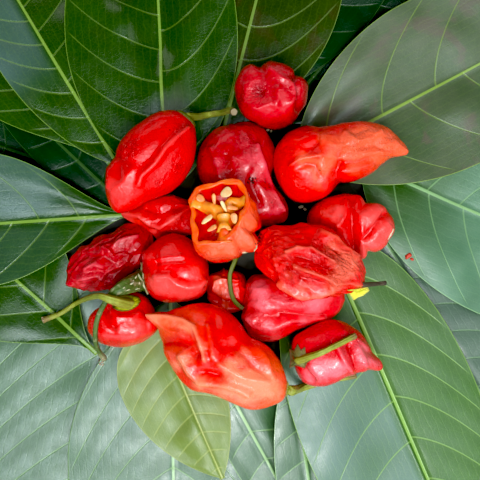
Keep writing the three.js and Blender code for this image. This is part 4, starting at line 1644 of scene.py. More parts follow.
@dataclass
class Stem:
    """A stalk with the green cap by which it holds the fruit."""

    node: str
    of: str
    cap: float
    root: float
    course: tuple[Point, ...]
    finish: Stems
    end: Stems = Stems.CUT
    cap_finish: Stems = Stems.FRESH
    star: float = 0.12
    star_points: int = 5
    lift: float = 0.0
    cap_at: Place = (0.0, 0.0)
    root_at: Place | None = None
    cap_outline: Line = ()
    cap_thickness: float = 0.9
    rings: int = 90
    sides: int = 28

    def shoulder(self, fruit: Fruit, radius: float) -> float:
        """The place along the fruit's shoulder where its radius is the given one."""
        share = 2 * radius / fruit.width
        return fruit.widest * (1 - (1 - share**fruit.shoulder) ** (1 / fruit.shoulder))

    def skin_height(self, fruit: Fruit, offset: Array) -> float | None:
        """The height of the fruit's skin at an offset as the camera sees it, if it is there."""
        level = fruit.plan_middle()[2]
        hit = sight(fruit.tree, fruit.eye, np.array([*fruit.unseen(offset, level), level]))
        return None if hit is None or hit[2] < level - 4 else hit[2]

    def way(self, fruit: Fruit, shift: Array) -> tuple[Array, Array]:
        """The stalk's course and its radius along it.

        Args:
            fruit: The fruit that it holds.
            shift: How far the part was moved to centre it.

        Returns:
            Places and radii.
        """
        tree = BVHTree.FromObject(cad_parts[self.node], bpy.context.evaluated_depsgraph_get())
        places = [fruit.middle(self.shoulder(fruit, self.cap)), fruit.middle(0.0)]
        if self.cap_outline:
            root = np.array(self.root_at or self.cap_at)
            level = self.skin_height(fruit, root) or fruit.plan_middle()[2]
            places = [np.array([*fruit.unseen(root, level), level - sunk]) for sunk in (2.0, 0.2)]
        for x, y, radius in self.course:
            spot = np.array([x, y]) + shift
            top = self.top_of(tree, spot)
            places.append(np.array([*spot, top - CAP_SINK * radius]))
        count = len(places)
        line = smooth_line(np.array(places), self.rings)
        radii = [self.root, self.root, *(point[2] for point in self.course)]
        radius = np.interp(np.linspace(0, count - 1, self.rings), np.arange(count), radii)
        return line, radius

    @staticmethod
    def top_of(tree: BVHTree, spot: Array) -> float:
        """The height of a solid's upper side at its place nearest to a spot of the plan.

        Args:
            tree: The solid's faces.
            spot: The spot.

        Returns:
            The height.
        """
        turns = np.linspace(0, 2 * np.pi, 13)[:-1]
        ring = np.stack([np.cos(turns), np.sin(turns)], axis=1)
        hits = (tree.ray_cast(Vector((*(near * MM), 1)), Vector((0, 0, -1)))[0]
                for reach in np.arange(0, 8, 0.4) for near in spot + reach * ring)
        return next(hit.z / MM for hit in hits if hit is not None)

    def build(self, fruit: Fruit, shift: Array, palette: Palette, seed: int) -> Piece:
        """Makes the stalk and its cap.

        Args:
            fruit: The fruit that it holds.
            shift: How far the part was moved to centre it.
            palette: Where the finishes come from.
            seed: The stalk's own number for its unevenness.

        Returns:
            The stalk.
        """
        noise = Noise(seed)
        line, radius = self.way(fruit, shift)
        sheet = Sheet()
        forward = unit(np.gradient(line, axis=0))
        side = unit(np.stack([-forward[:, 1], forward[:, 0], np.full(len(line), 1e-6)], axis=1))
        upper = np.cross(forward, side)
        turns = circle(self.sides)
        around = np.cos(turns)[:, None] * side[:, None] + np.sin(turns)[:, None] * upper[:, None]
        share = np.linspace(0, 1, self.rings)[:, None]
        ribbed = 1 + 0.07 * np.cos(5 * turns + 3 * share) + 0.1 * smooth(share, 0.93, 1.0)
        rows = line[:, None] + radius[:, None, None] * ribbed[..., None] * around
        rows = rows + 0.16 * noise.at(rows, 2.5)[..., None] * around
        sheet.grid(rows, 0, stem_map(share, turns / (2 * np.pi), rows))
        self.add_end(sheet, rows[-1], forward[-1])
        self.add_cap(sheet, fruit)
        stem = sheet.build(self.node.replace("stalk", "stem"),
                           [palette.get(part) for part in (self.finish, self.end, self.cap_finish)])
        enlist(stem, "stalk", self.node)
        return stem

    def add_end(self, sheet: Sheet, ring: Array, forward: Array) -> None:
        """Adds the cut end with its raised bark and sunk middle.

        Args:
            sheet: The form that the end becomes part of.
            ring: The stalk's last ring.
            forward: The way that the end faces.
        """
        middle = ring.mean(axis=0)
        steps = ((0.9, -0.3), (1.0, 0.02), (0.97, 0.14), (0.85, 0.18), (0.72, 0.1), (0.4, 0.06))
        rows = np.array([middle + (ring - middle) * size + out * forward for size, out in steps])
        sheet.grid(rows, 1, stem_map(0.5, 0.5, rows))

    def add_cap(self, sheet: Sheet, fruit: Fruit) -> None:
        """Adds the cap, a shell that lies on the fruit's shoulder and ends in short points.

        Args:
            sheet: The form that the cap becomes part of.
            fruit: The fruit that it lies on.
        """
        if self.cap_outline:
            self.drape_cap(sheet, fruit)
            return
        end = self.shoulder(fruit, self.cap)
        turns = circle(120)
        phase = self.star_points * turns / (2 * np.pi)
        spike = 1 - 2 * np.abs(phase - np.round(phase))
        star = 1 + self.star * (1.6 * spike**1.4 - 0.55)
        steps = np.linspace(0.03, 1, 26)[:, None]
        reach = np.minimum(steps * star * end, 0.95 * fruit.widest)
        turn = np.broadcast_to(turns, reach.shape)
        thick = self.cap_thickness * (1 - 0.8 * steps**2) + 0 * reach
        thick = thick + 0.1 * np.cos(self.star_points * 2 * turn) * steps + self.lift * steps**4
        over = fruit.skin(reach, turn, thick)
        under = fruit.skin(reach[::-1], turn, (self.lift * steps**4 - 0.25)[::-1] + 0 * reach)
        rows = np.concatenate([over, under])
        outwards = np.concatenate([0.4 + 0.6 * steps, 0.4 + 0.6 * steps[::-1]])
        sheet.grid(rows, 2, stem_map(outwards, turns / np.pi, rows))

    def drape_cap(self, sheet: Sheet, fruit: Fruit) -> None:
        """Lays a cap with its own outline over the fruit, and down past the fruit's edge.

        Args:
            sheet: The form that the cap becomes part of.
            fruit: The fruit that it lies on.
        """
        corners = pairs(self.cap_outline + self.cap_outline[:2])
        count = 6 * (len(corners) - 1)
        at = np.linspace(0, len(corners) - 1, count + 1)[:-1]
        line = np.stack([np.interp(at, np.arange(len(corners)), corners[:, axis]) for axis in (0, 1)], axis=1)
        shares = np.linspace(0.06, 1, 16)
        offsets = np.array(self.cap_at) + shares[:, None, None] * (line - self.cap_at)
        start = self.skin_height(fruit, np.array(self.cap_at)) or fruit.plan_middle()[2]
        levels = np.full(offsets.shape[:2], start)
        for row, column in np.ndindex(*levels.shape):
            before = max(row - 1, 0)
            found = self.skin_height(fruit, offsets[row, column])
            step = np.linalg.norm(offsets[row, column] - offsets[before, column])
            levels[row, column] = levels[before, column] - 0.9 * step if found is None else found
        for _ in range(3):
            levels[1:-1] = (levels[:-2] + 2 * levels[1:-1] + levels[2:]) / 4
            levels = (np.roll(levels, 1, axis=1) + 2 * levels + np.roll(levels, -1, axis=1)) / 4
        rise = self.cap_thickness * (1.15 - shares**2) + self.lift * shares**6
        turn = circle(count)
        over = levels + rise[:, None] + 0.12 * np.sin(7 * turn) * shares[:, None]
        under = levels + (self.lift * shares**6 - 0.5)[:, None]
        layers = [np.dstack([fruit.unseen(offsets, layer), layer]) for layer in (over, under)]
        rows = np.concatenate([layers[0], layers[1][::-1]])
        away = 0.6 + 0.4 * np.concatenate([shares, shares[::-1]])[:, None]
        sheet.grid(rows[:, ::-1], 2, stem_map(away, turn[::-1] / np.pi, rows))


@dataclass(frozen=True)
class Crumb:
    """A small loose bit: where it lies, how long and wide it is and how it is turned."""

    place: Place
    length: float
    width: float
    turn: float = 0.0
    rise: float = 0.2
    tilt: float = 0.0


@dataclass
class Crumbs:
    """Small loose bits of one kind, as one piece."""

    name: str
    slot: str
    finish: FleshFinish
    bits: tuple[Crumb, ...]

    def build(self, ground: Ground, palette: Palette, seed: int) -> Piece:
        """Makes the bits.

        Args:
            ground: What they lie on.
            palette: Where the finishes come from.
            seed: Their own number for their unevenness.

        Returns:
            The piece.
        """
        noise = Noise(seed)
        sheet = Sheet()
        latitude, turn = crossed(np.linspace(0, np.pi, 11)[1:-1], circle(16))
        ball = np.dstack([np.cos(latitude), np.sin(latitude) * np.cos(turn),
                          np.sin(latitude) * np.sin(turn)])
        for bit in self.bits:
            spot = ground.under(bit.place)
            angle = math.radians(bit.turn)
            tilted = math.tan(math.radians(bit.tilt))
            way = unit(np.array([math.cos(angle), math.sin(angle), tilted]))
            left = np.array([-math.sin(angle), math.cos(angle), 0.0])
            size = np.array([bit.length, bit.width, 0.7 * min(bit.width, bit.length)]) / 2
            local = ball * size * (1 + 0.7 * noise.at(ball + bit.place[0], 0.8)[..., None])
            rows = (spot + np.array([0, 0, bit.rise]) + local[..., :1] * way + local[..., 1:2] * left
                    + local[..., 2:] * np.cross(way, left))
            sheet.grid(rows)
        piece = sheet.build(self.name, [palette.get(self.finish)])
        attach(piece, "root")
        log.info("%s: %d bits", self.name, len(self.bits))
        return piece


@dataclass
class Studio:
    """The camera, the floor and the lights."""

    height: float = 350.0
    level: float = 20.0
    span: float = 200.0
    sensor: float = 36.0
    black: float = 0.016
    room: float = 1500.0
    floor_level: float = -0.7

    def build(self, shift: Array) -> None:
        """Sets the stage.

        Args:
            shift: How far the part was moved to centre it; the camera looks at the same place.
        """
        scene = bpy.context.scene
        scene.view_settings.view_transform = "Standard"
        scene.view_settings.use_curve_mapping = True
        scene.view_settings.curve_mapping.black_level = (self.black,) * 3
        camera = bpy.data.cameras.new("camera")
        camera.sensor_width = self.sensor
        camera.lens = self.sensor * self.height / self.span
        camera.clip_start, camera.clip_end = 0.01, 20
        eye = bpy.data.objects.new("camera", camera)
        eye.location = (shift[0] * MM, shift[1] * MM, (self.height + self.level) * MM)
        scene.collection.objects.link(eye)
        scene.camera = eye
        self.floor()
        for panel in (("sky panel", (0.16, -0.51, 1.2), (1.12, 1.2), 15.2, (0.78, 0.94, 1.0)),
                      ("bright cloud", (-0.2, -0.37, 1.1), (0.7, 0.5), 4.6, (0.76, 0.92, 1.0)),
                      ("cloud edge", (0.1, -0.45, 1.2), (0.26, 0.16), 5.5, (1.0, 0.98, 0.95)),
                      ("south panel", (0.1, -1.5, 0.45), (2.4, 0.8), 11, (0.86, 0.93, 1.0)),
                      ("fill panel", (-0.4, 1.1, 0.6), (1.0, 0.5), 2.5, (1.0, 0.97, 0.92)),
                      ("east panel", (0.9, 0.1, 1.0), (0.9, 0.7), 3.5, (0.95, 0.97, 1.0))):
            self.panel(*panel)
        world = bpy.data.worlds.new("sky")
        scene.world = world
        world.use_nodes = True
        sky = world.node_tree.nodes["Background"]
        sky.inputs["Color"].default_value = (0.62, 0.72, 0.85, 1)
        sky.inputs["Strength"].default_value = 0.07

    def floor(self) -> None:
        """A plain pale floor just under the leaves."""
        sheet = Sheet()
        corners = np.array([[x * self.room, y * self.room, self.floor_level]
                            for x, y in ((-1, -1), (1, -1), (1, 1), (-1, 1))])
        sheet.add(corners, [np.array([[0, 1, 2, 3]])], [0])
        material, nodes, shader = new_material("floor")
        tone = nodes.rise(nodes.noise(nodes.place(), 6, 3), 0.3, 0.7)
        nodes.dress(shader, {"Base Color": nodes.mix(tone, (0.74, 0.74, 0.72), (0.8, 0.8, 0.78)),
                             "Roughness": 0.8})
        sheet.build("floor", [material])

    def panel(self, name: str, place: Point, size: Place, power: float, colour: Colour) -> None:
        """Adds one soft light that faces the heap.

        Args:
            name: The light's name.
            place: Where it hangs, in metres.
            size: Its width and depth, in metres.
            power: Its power in watts.
            colour: Its colour.
        """
        light = bpy.data.lights.new(name, "AREA")
        light.shape = "RECTANGLE"
        light.size, light.size_y = size
        light.energy = power
        light.color = colour
        lamp = bpy.data.objects.new(name, light)
        lamp.location = place
        lamp.rotation_mode = "QUATERNION"
        back = Vector(place).normalized()
        level = -Vector(BRIGHT_EDGE).cross(back).cross(back).normalized()
        lamp.rotation_quaternion = Matrix((level, back.cross(level), back)).transposed().to_quaternion()
        lamp.visible_camera = False
        bpy.context.scene.collection.objects.link(lamp)


def leaves() -> list[Leaf]:
    """The leaves from the lowest to the top one.

    Returns:
        One entry for each leaf.
    """
    deep, green, pale = "leaf_deep", "leaf_green", "leaf_pale"
    broad = Veins(16, 19, 0.5, 0.018)
    return [
        Leaf("leaf_under_south", (-74, -18), (54, -50), 38, 26, deep, Blades.SHADE),
        Leaf("leaf_under_north", (-92, 8), (76, 32), 33, 38, deep, Blades.SHADE),
        Leaf("leaf_left_hidden", (-50, 22), (-166, 62), 19, 19, deep, Blades.SHADOWED),
        Leaf("leaf_top_hidden", (14, 50), (104, 158), 22, 22, deep, Blades.SHADOWED),
        Leaf("leaf_top_dark", (6.5, 57), (87, 179), 21, 21, deep, Blades.SHADOWED, foot=1.3),
        Leaf("leaf_right_dark", (59, 6.5), (148, -134), 26, 26, pale, Blades.SLATE),
        Leaf("leaf_left_dark", (-50, 15), (-118, 79), 12.5, 18, deep, Blades.SHADOWED),
        Leaf("leaf_bottom_left", (-50, -16), (-92, -181), 36, 56, pale, Blades.PALE_SHEEN, foot=0.6,
          veins_left=Veins(14, 19, 0.85, 0.01), veins_right=Veins(14, 19, 0.865, 0.0092)),
        Leaf("leaf_top_olive", (-7, 48), (28, 187), 30, 36, green, Blades.OLIVE,
          veins_left=Veins(15, 15, 0.1, 0.02), veins_right=Veins(16, 15, 0.0, 0.029)),
        Leaf("leaf_left_high", (-56, 33), (-158, 146), 27, 26, green, Blades.GREEN, foot=1.6,
          veins_left=Veins(9.5, 11.6, 0.8, 0.0), veins_right=Veins(9.5, 11.6, 0.6, 0.008)),
        Leaf("leaf_bottom", (-30, -26), (-28, -190), 34, 46, pale, Blades.PALE_SHEEN, veins_left=broad,
          veins_right=broad),
        Leaf("leaf_bottom_mid", (-15, -46), (37, -144), 20, 14, pale, Blades.PALE_SHEEN),
        Leaf("leaf_bottom_narrow", (22, -54), (40, -170), 20, 14, pale, Blades.PALE_SHEEN),
        Leaf("leaf_bottom_right", (38, -2), (109, -168), 36, 44.5, pale, Blades.LIME, foot=0.45,
          cups=(-0.03, -0.2), sheen_shares=(1.0, 0.12), veins_left=Veins(12.5, 19.5, 0.494, 0.0224),
          veins_right=Veins(15.5, 19.4, 0.19, 0.0119)),
        Leaf("leaf_right", (54, 33), (179, -20), 30, 40.5, pale, Blades.SKY_SHEEN, widest=0.52, foot=0.62,
          veins_left=Veins(14, 16, 0.35, 0.014), veins_right=Veins(14, 17, 0.4, 0.012)),
        Leaf("leaf_top_right", (26, 35), (157, 105), 38.5, 38.5, pale, Blades.GREY_SHEEN, widest=0.5, foot=0.65,
          cups=(0.0, 0.05), veins_left=Veins(13.8, 27.1, 0.308, 0.021),
          veins_right=Veins(27.4, 27, 0.374, 0.0128)),
        Leaf("leaf_top_left", (-53, 33), (-131, 161), 22.5, 24, green, Blades.GREEN, sheen_shares=(0.0, 0.85),
          sheen_start=0.25, veins_left=Veins(10.5, 12.4, 0.389, 0.0262),
          veins_right=Veins(14.5, 13, 0.3, 0.012)),
        Leaf("leaf_left_low", (-61.5, -49), (-155, 35), 31, 27, green, Blades.GREEN, foot=1.8,
          cups=(0.01, 0.19), veins_left=Veins(10.8, 16.5, 0.95, 0.0),
          veins_right=Veins(15.7, 16, 0.695, 0.009)),
        Leaf("leaf_left", (-46, 11), (-179, 2), 27, 31, green, Blades.GREEN, widest=0.5, foot=1.65,
          cups=(0.13, 0.17), sheen_shares=(0.75, 0.3), veins_left=Veins(3.9, 16, 0.661, 0.0168),
          veins_right=Veins(6, 17.2, 0.363, 0.021)),
        Leaf("leaf_top", (-31, 21), (-40, 177), 40, 34, green, Blades.GREEN,
          veins_left=Veins(15.7, 15.4, 0.106, 0.0132), veins_right=Veins(13.5, 19, 0.0, 0.031)),
        Leaf("leaf_small_yellow", (-36, -35), (-7.5, -103), 17.5, 26.5, "leaf_yellow", Blades.YELLOW,
          widest=0.34, foot=0.4, rows=90, quilt=0.2, cups=(-0.08, -0.34),
          veins_left=Veins(7.6, 8.7, 0.3, 0.02), veins_right=Veins(7.6, 8.7, 0.321, 0.0132)),
    ]


def fruits() -> list[Fruit]:
    """The fruits in the order in which they lie on each other.

    Returns:
        One entry for each fruit.
    """
    red, crimson, orange = "skin_red", "skin_crimson", "skin_orange"
    return [
        Fruit("pod_top", (16, 59, 0), (10.5, 61, 27), 30, 0.5, 2.3, 2.6, 4, 0.05, crimson, Skins.CRIMSON,
          wrinkles=Wrinkles(0.4, 14, 0.12, 7),
          outline=(15.3, 2, 15, 5, 13, 7.5, 10, 8.8, 8.5, 11, 5, 13, 2, 13.7, -1, 14.3, -4, 13, -6, 12.3,
           -9, 13, -12, 11.5, -14, 9, -15.7, 5, -15.7, 1, -14.8, -3, -13, -6.5, -10, -9.5, -7, -11,
           -5, -12.7, -2, -14, 2, -14, 6, -12.5, 9, -10, 11.5, -7, 14, -3.5),
          folds=((1.7, 1.3, -1, 10.5, 4, 7, 9, 5, 10, 0, 8, -3), (1.5, -1.8, 9.5, 8, 11.2, 2, 10.7, -6),
           (1.6, 1.0, 1.5, -4, 2.5, 3), (1.5, 0.8, -11, 4, -11, -2, -6, -5.5, -1, -3), (1.8, -0.9,
           -5.5, 13, -4, 9)),
          bulges=((-5.5, 2, 4.6, -1.5), (-5.5, 1, 1.6, -0.9)),
          crinkles=((-5.5, 1.5, 4.5, 1.0), (-13, -2, 3, 0.7)),
          sheen_spots=((-6, 4, 4.5, 0.6), (9.5, 3, 2.6, 0.7), (0, -8, 5, 0.3), (3, 7, 2.5, 0.5))),
        Fruit("pod_crumpled", (-16, 13, 0), (-48.5, 12, 0), 18, 0.5, 2.0, 1.7, 3, 0.06, red, Skins.SCARLET,
          bow=2.5, wrinkles=Wrinkles(0.5, 11, 0.35, 5),
          outline=(16, 0, 15, 5, 10, 8, 5, 9.5, 0, 9.5, -4, 8.5, -8, 7, -12, 5, -17, 3, -16.5, 1, -12, -2,
           -8, -4.3, -5, -6.5, -2, -8.7, 2, -8, 7, -8, 12, -7, 15, -4),
          folds=((1.4, 2.0, -16, 2, -10, 0.5, -6, -3, -2, -4, 2, -1.5, 6, 1.5, 10, 4), (1.0, 1.5, -16, 0.5,
           -11, -2.5, -7, -4.5, -4, -7, -2, -8.5), (1.0, -1.3, -11, -1, -7, -4, -3, -6), (2.0, -1.6,
           -8, 3.5, -1, 1.5, 5, 5)),
          crinkles=((6, -2, 4, 0.9),),
          sheen_spots=((3, -1, 3.5, 0.6), (-4, -6, 3, 0.5), (-11, 1, 3, 0.5))),
        Fruit("pod_right", (64, 2.5, 0), (28, 9.5, 0), 25, 0.4, 2.5, 2.2, 3, 0.06, red, Skins.SCARLET,
          bow=-1, swells=((0.42, 20, 0.09, -2.6),), wrinkles=Wrinkles(0.4, 13, 0.2, 6),
          outline=(18.7, -0.5, 18.3, 2.5, 17, 5.5, 15, 8, 12, 9.7, 9, 10, 7, 10.3, 6, 12, 4, 14, 0, 14.3,
           -6, 13.3, -11, 11.5, -15, 9, -17, 6, -17.5, 3, -16, -1, -12, -5, -5, -9, 2, -12.5, 6, -13.8,
           7.6, -12, 8, -10.2, 11, -10.5, 14, -9, 16, -6.5, 17.5, -3.5),
          folds=((1.6, 1.0, -11, 4, -6, 3, -4, 0.5), (1.5, 1.3, -4, 0.5, -1.6, 5, -1.2, 11), (2.2, -2.0,
           1.5, 12, 1.5, 3, 1.5, -3, 2.5, -10), (1.5, 0.9, 4.8, 5, 5.2, -1, 4.8, -8), (1.3, -1.9, 15, 5.5,
           12, 1.5, 9, -3, 6.5, -5)),
          bulges=((15, -1, 3.5, 0.8), (8.5, 4, 3.5, 0.6)),
          crinkles=((4.5, 3, 2.5, 0.5),),
          sheen_spots=((-4, 7, 3, 0.7), (-6, 3.5, 2.6, 0.6), (8, 4, 4, 1.0), (12.5, 8.5, 3.5, 0.8),
           (16, -1, 4, 1.0), (12, -7, 4.5, 0.9), (6, -8, 3, 0.6), (6.5, -12, 3, 0.8), (6, 12, 3, 0.4))),
        Fruit("pod_folded", (45, -25, 0), (1.5, -28, 0), 26, 0.72, 1.7, 2.6, 3, 0.06, crimson, Skins.ROSE,
          wrinkles=Wrinkles(0.5, 13, 0.3, 6),
          outline=(19.7, 0, 20.5, 3, 20.5, 7, 18, 11, 10, 13, 0, 13.5, -10, 13.5, -17, 13, -20, 10, -21, 5,
           -21.5, 0, -22, -5, -21, -9, -18.5, -12, -14, -14, -9, -14.5, -5, -13, 0, -10.2, 5, -8.5,
           10, -6.7, 14, -5.5, 17, -3),
          folds=((2.0, 0.8, -18, 8, -12, 7), (1.4, 0.9, -10, 3, -5, 1, 0, 2), (1.1, -1.9, -9, -3, -4, -3.2,
           2, -3.7, 8, -4.2, 13, -3.5), (2.4, 1.0, 1, -1, 6, 1, 11, 1), (1.0, 1.2, -2, -5.6, 5, -6,
           12, -5), (1.5, 1.4, -21, -4, -17, -8, -8, -8.5, -3, -6.5), (1.3, -1.3, -20, -1.5, -14, -4,
           -8, -5), (1.3, 0.8, -18, -10.5, -10, -11.5)),
          crinkles=((-17, -7, 5, 0.8), (-12, 2, 5, 0.45), (-2, 2, 4, 0.6)),
          sheen_spots=((-15, 7, 5, 0.8), (-14, 0, 4, 0.7), (-6, 2, 4, 0.6), (8, 0.5, 5, 0.9),
           (-12, -8.5, 4, 0.6), (3, -6, 3, 0.6), (-20, -6, 3, 0.6), (14, 5, 4, 0.5))),
        Fruit("pod_small", (-5, -20.5, 0), (-4.5, -22, 16), 17.5, 0.55, 2.0, 2.4, 5, 0.05, orange,
          Skins.FLAME, wrinkles=Wrinkles(0.3, 9, 0.25, 5),
          outline=(9.3, 1, 8, 5.5, 5, 7.5, 0, 7.8, -4, 7, -7, 5.5, -8, 2, -7.6, -1, -7, -4.5, -5.5, -7.5,
           -3, -9.5, 1, -10.3, 5, -9.8, 8.5, -8, 9, -4),
          folds=((0.9, 1.0, -5, -1, -4, 2.5, -1.5, 3.7, 2, 3.6, 5, 3), (0.9, -1.3, -5.3, -3, -2, -5.6,
           1, -6.6, 4.5, -6), (1.0, 0.9, -6.5, -4, -4, -7.2, 0, -8.7, 5, -8.2)),
          crinkles=((0, 0, 3, 0.5),),
          sheen_spots=((-1, 0, 4, 0.9), (-3, 4, 3, 0.7), (0, -7.5, 3, 0.7))),
        Fruit("pod_long_dark", (-3.5, 49, 0), (18, 8, 3), 31.5, 0.33, 2.2, 1.7, 3, 0.04, crimson,
          Skins.CRIMSON, bow=-3, wrinkles=Wrinkles(0.5, 14, 0.25, 6),
          outline=(12.7, 0, 13.4, 3.5, 14, 7, 13.8, 12, 12, 16, 9, 20, 4, 22.7, -1, 23, -7, 22, -12, 19.5,
           -15.5, 15, -17.8, 10, -18.5, 5, -17.5, 0, -14, -6, -9, -13, -4, -18, 2, -20.5, 8, -20.5,
           14, -19.8, 18.2, -18.8, 19.7, -16.5, 19.3, -13, 18, -9, 16, -6.5, 13.8, -4),
          folds=((1.3, 1.4, -12.5, 12, -10.5, 7, -9, 2, -8.5, -0.5), (2.0, -0.9, -6.5, 10, -5, 2),
           (1.3, 1.9, 6.5, 12, 8.5, 6, 10, 2, 12, -3, 15, -9, 17, -13), (2.3, -2.4, 4, 1, 5, -5, 8, -11),
           (1.6, 0.9, 2.5, 15, 3.5, 8, 3.5, 2)),
          bulges=((11.5, -15, 3.5, 0.9),),
          crinkles=((2, 16, 4.5, 0.9), (-10, 6, 3, 0.6), (15, -11, 4, 0.7)),
          sheen_spots=((1, 15, 6, 0.4), (3, 6, 4, 0.5), (9, 1, 3, 0.5), (-10, 6, 2.6, 0.7), (15, -14, 3, 0.8),
           (8, 8, 3, 0.5))),
        Fruit("pod_left", (-37.5, 2.5, 0), (-71, -15, 0), 20.5, 0.6, 2.0, 2.6, 4, 0.07, crimson,
          Skins.CRIMSON, wrinkles=Wrinkles(0.6, 10, 0.6, 4.5), rings=110, sides=150,
          outline=(17, 5, 18, 9, 15, 14, 11, 15.5, 7, 15.7, 4, 14, 1, 11.7, -3, 11.3, -6, 9.5, -9, 7,
           -13, 5.5, -15.5, 3, -17.3, -1, -18, -5, -18, -9, -15, -10.8, -10, -12, -5, -12.5, 0, -11.7,
           3, -10, 6, -7, 9, -5, 12, -3, 15, 0),
          folds=((1.1, 1.3, -8, 5, -4, 6.5, 0, 4, 2, 1), (1.2, 1.2, 2, 7, 6, 9.5, 11, 9.5), (1.1, 1.2,
           -11, -3, -6, -1, -3, -2), (1.4, -1.3, -9, 1.5, -3, 2.5, 1, 0), (0.9, 1.3, -4, -7, 0, -4,
           5, -1.5), (1.0, 1.1, -12, -7, -5, -6, 1, -8), (1.0, -1.0, -10, -4.8, -4, -4, 0, -6), (1.2, -1.0,
           2, 4, 7, 5, 10, 3)),
          crinkles=((5, 2, 5, 0.9), (-10, -5, 5, 0.8), (0, -8, 5, 0.7)),
          sheen_spots=((-5, 5, 3, 0.4), (6, 8.5, 3, 0.4), (-8, -2, 4, 0.4), (-11, -9, 5, 0.5), (0, -6, 4, 0.4))),
        Fruit("pod_low_left", (-46, -29, 19), (-50.5, -40, -4), 29, 0.45, 2.6, 2.4, 3, 0.06, red,
          Skins.SCARLET, flat=0.8, wrinkles=Wrinkles(0.4, 14, 0.12, 7),
          outline=(14.5, -1, 13.5, 3, 12, 7, 9, 10.5, 5, 12, 0, 12, -4, 11, -8, 8.5, -10, 6, -13, 4,
           -15, 1, -15.5, -3, -14.5, -5.5, -12, -8, -8, -10, -3, -11, 2, -10.7, 7, -9, 11, -6.5, 13.5, -4),
          folds=((1.5, -1.6, -8, 4, -7, 0, -4.5, -3), (1.4, 1.0, -5, 4, -3, 1.5, 3, 1.8, 6, 3.5),
           (1.8, -0.9, 9.5, 4, 10, -3)),
          crinkles=((-13, -1, 3, 0.6),),
          sheen_spots=((2, -4, 6, 0.7), (9, -2, 4, 0.5), (-8, -6, 4, 0.4))),
        Fruit("pod_centre_left", (-40, -17, 0), (-11, -8.5, 0), 27.5, 0.48, 2.4, 2.4, 3, 0.06, red,
          Skins.SCARLET, wrinkles=Wrinkles(0.4, 16, 0.08, 8),
          outline=(14, -1, 13.5, 2, 12, 5.5, 9, 9.5, 5, 13, 0, 14.7, -4, 14.3, -8, 12, -11, 9, -13.5, 5.5,
           -14, 2, -14, -4, -13, -8, -11, -11, -8, -13, -3, -14, 2, -13.7, 6, -13, 10, -11.8, 12.5, -9,
           13.7, -5),
          folds=((0.9, -1.2, -9, 2.5, -3, 3.3, 2.5, 3.6), (1.0, 0.7, -8, 3.6, -3, 4.4, 2, 4.8), (1.5, 1.7,
           -8, -3.2, -3, -3, 0, -6, 4, -7.5, 9, -7, 11, -5), (1.8, -0.6, -8, -0.8, -2, -0.8, 2, -4, 8, -5),
           (1.6, 1.1, -12.5, 6, -11, 2, -10, -1), (1.3, -0.9, -9.5, 5, -8.5, 0)),
          sheen_spots=((-4, -7.5, 5, 0.9), (4, -10, 4.5, 0.9), (-9, -6, 4, 0.7), (10, -8, 3, 0.6))),
        Fruit("pod_bottom", (20, -60.5, 0), (-37, -32.5, 0), 32, 0.42, 2.4, 1.9, 3, 0.05, orange,
          Skins.AMBER, wrinkles=Wrinkles(0.5, 17, 0.12, 8), rings=120, sides=150,
          outline=(25, -4, 23, 0, 20, 4, 16, 7, 11, 9.7, 8, 13.5, 5, 17, 0, 20.5, -6, 22, -12, 22, -17, 21,
           -20, 20.2, -22, 19.2, -26, 19.2, -29, 18, -29.7, 16.5, -28, 14.8, -26, 13, -25.5, 9.5, -24.5, 6,
           -22.5, 1.5, -20, -2.5, -17, -7, -14, -10.5, -11, -12.5, -6, -13.5, -2, -15, 3, -17.5, 8, -19.5,
           12, -20.5, 16, -20, 20, -18.5, 24.5, -16, 26, -12, 26, -8),
          folds=((1.3, 2.4, -29, 17, -21, 16.5, -15, 15, -11, 12.5, -9.5, 8, -8, 3, -7, 0), (1.6, -1.0,
           -24, 13.5, -18, 13, -14, 10.5), (2.6, -3.4, -24, 7.5, -18, 7.5, -13, 6, -11, 2.5), (1.7, 1.4,
           -5.5, 13, -5, 8, -3.5, 1), (1.6, -1.3, -3, 17, -2, 10, 0, 5), (1.5, 2.1, -16.5, 1.5, -12.5, -5,
           -9, -8.7, 0, -9.7, 6, -11.3, 10, -13.5), (1.7, -2.4, -9, -5.8, -5, -6, -1, -7), (1.8, 1.5,
           -1, -2, 4, -5, 9, -7.3, 18, -8.7), (2.4, -1.0, 5, 6, 10, 1, 14, -4, 18, -6), (1.4, 1.1, 14, 5,
           18, 0, 20.5, -7)),
          crinkles=((-18, 11, 3.5, 0.7), (4, -6, 5, 0.4)),
          sheen_spots=((3, -3, 4, 0.8), (10, -8.5, 5, 1.0), (17, -9, 4.5, 0.9), (9, -14, 6, 0.8),
           (21, -12.5, 5, 0.7), (9, 2, 4, 0.6), (-22, 15, 4, 0.5), (-28, 17, 3, 1.0), (-14, 12.5, 4, 0.8),
           (-9, 5, 3.4, 0.8), (-15, 0, 3.6, 0.7), (-9, -9.6, 4, 0.8), (-20, -3, 3.5, 0.6),
           (0, -12.5, 5, 0.7))),
        Fruit("pod_low_right", (24, -49, 0), (59.5, -52, 0), 27, 0.38, 2.6, 1.5, 3, 0.05, crimson,
          Skins.ROSE, bow=3, wrinkles=Wrinkles(0.4, 14, 0.1, 7),
          outline=(17.3, -5, 16.5, -3, 14.5, -1, 12.5, 1, 11, 4, 9.5, 7, 7, 9.5, 4, 11.5, 0, 13.5, -5, 14,
           -10, 12, -15, 9.5, -19, 7, -20.5, 3, -20.5, -1, -19.5, -5, -18, -8.5, -15.5, -11.5, -12, -13.3,
           -7, -13.5, -3, -12.5, 0, -11, 3, -9.5, 6, -8.5, 9, -7.5, 11, -6.5, 14, -6.9, 16.5, -6.8),
          folds=((1.3, 1.8, -2, 4, 0, 0, 2, -4, 4.5, -7.5), (1.4, -2.4, 3.5, 3.5, 5, -1, 6.5, -6),
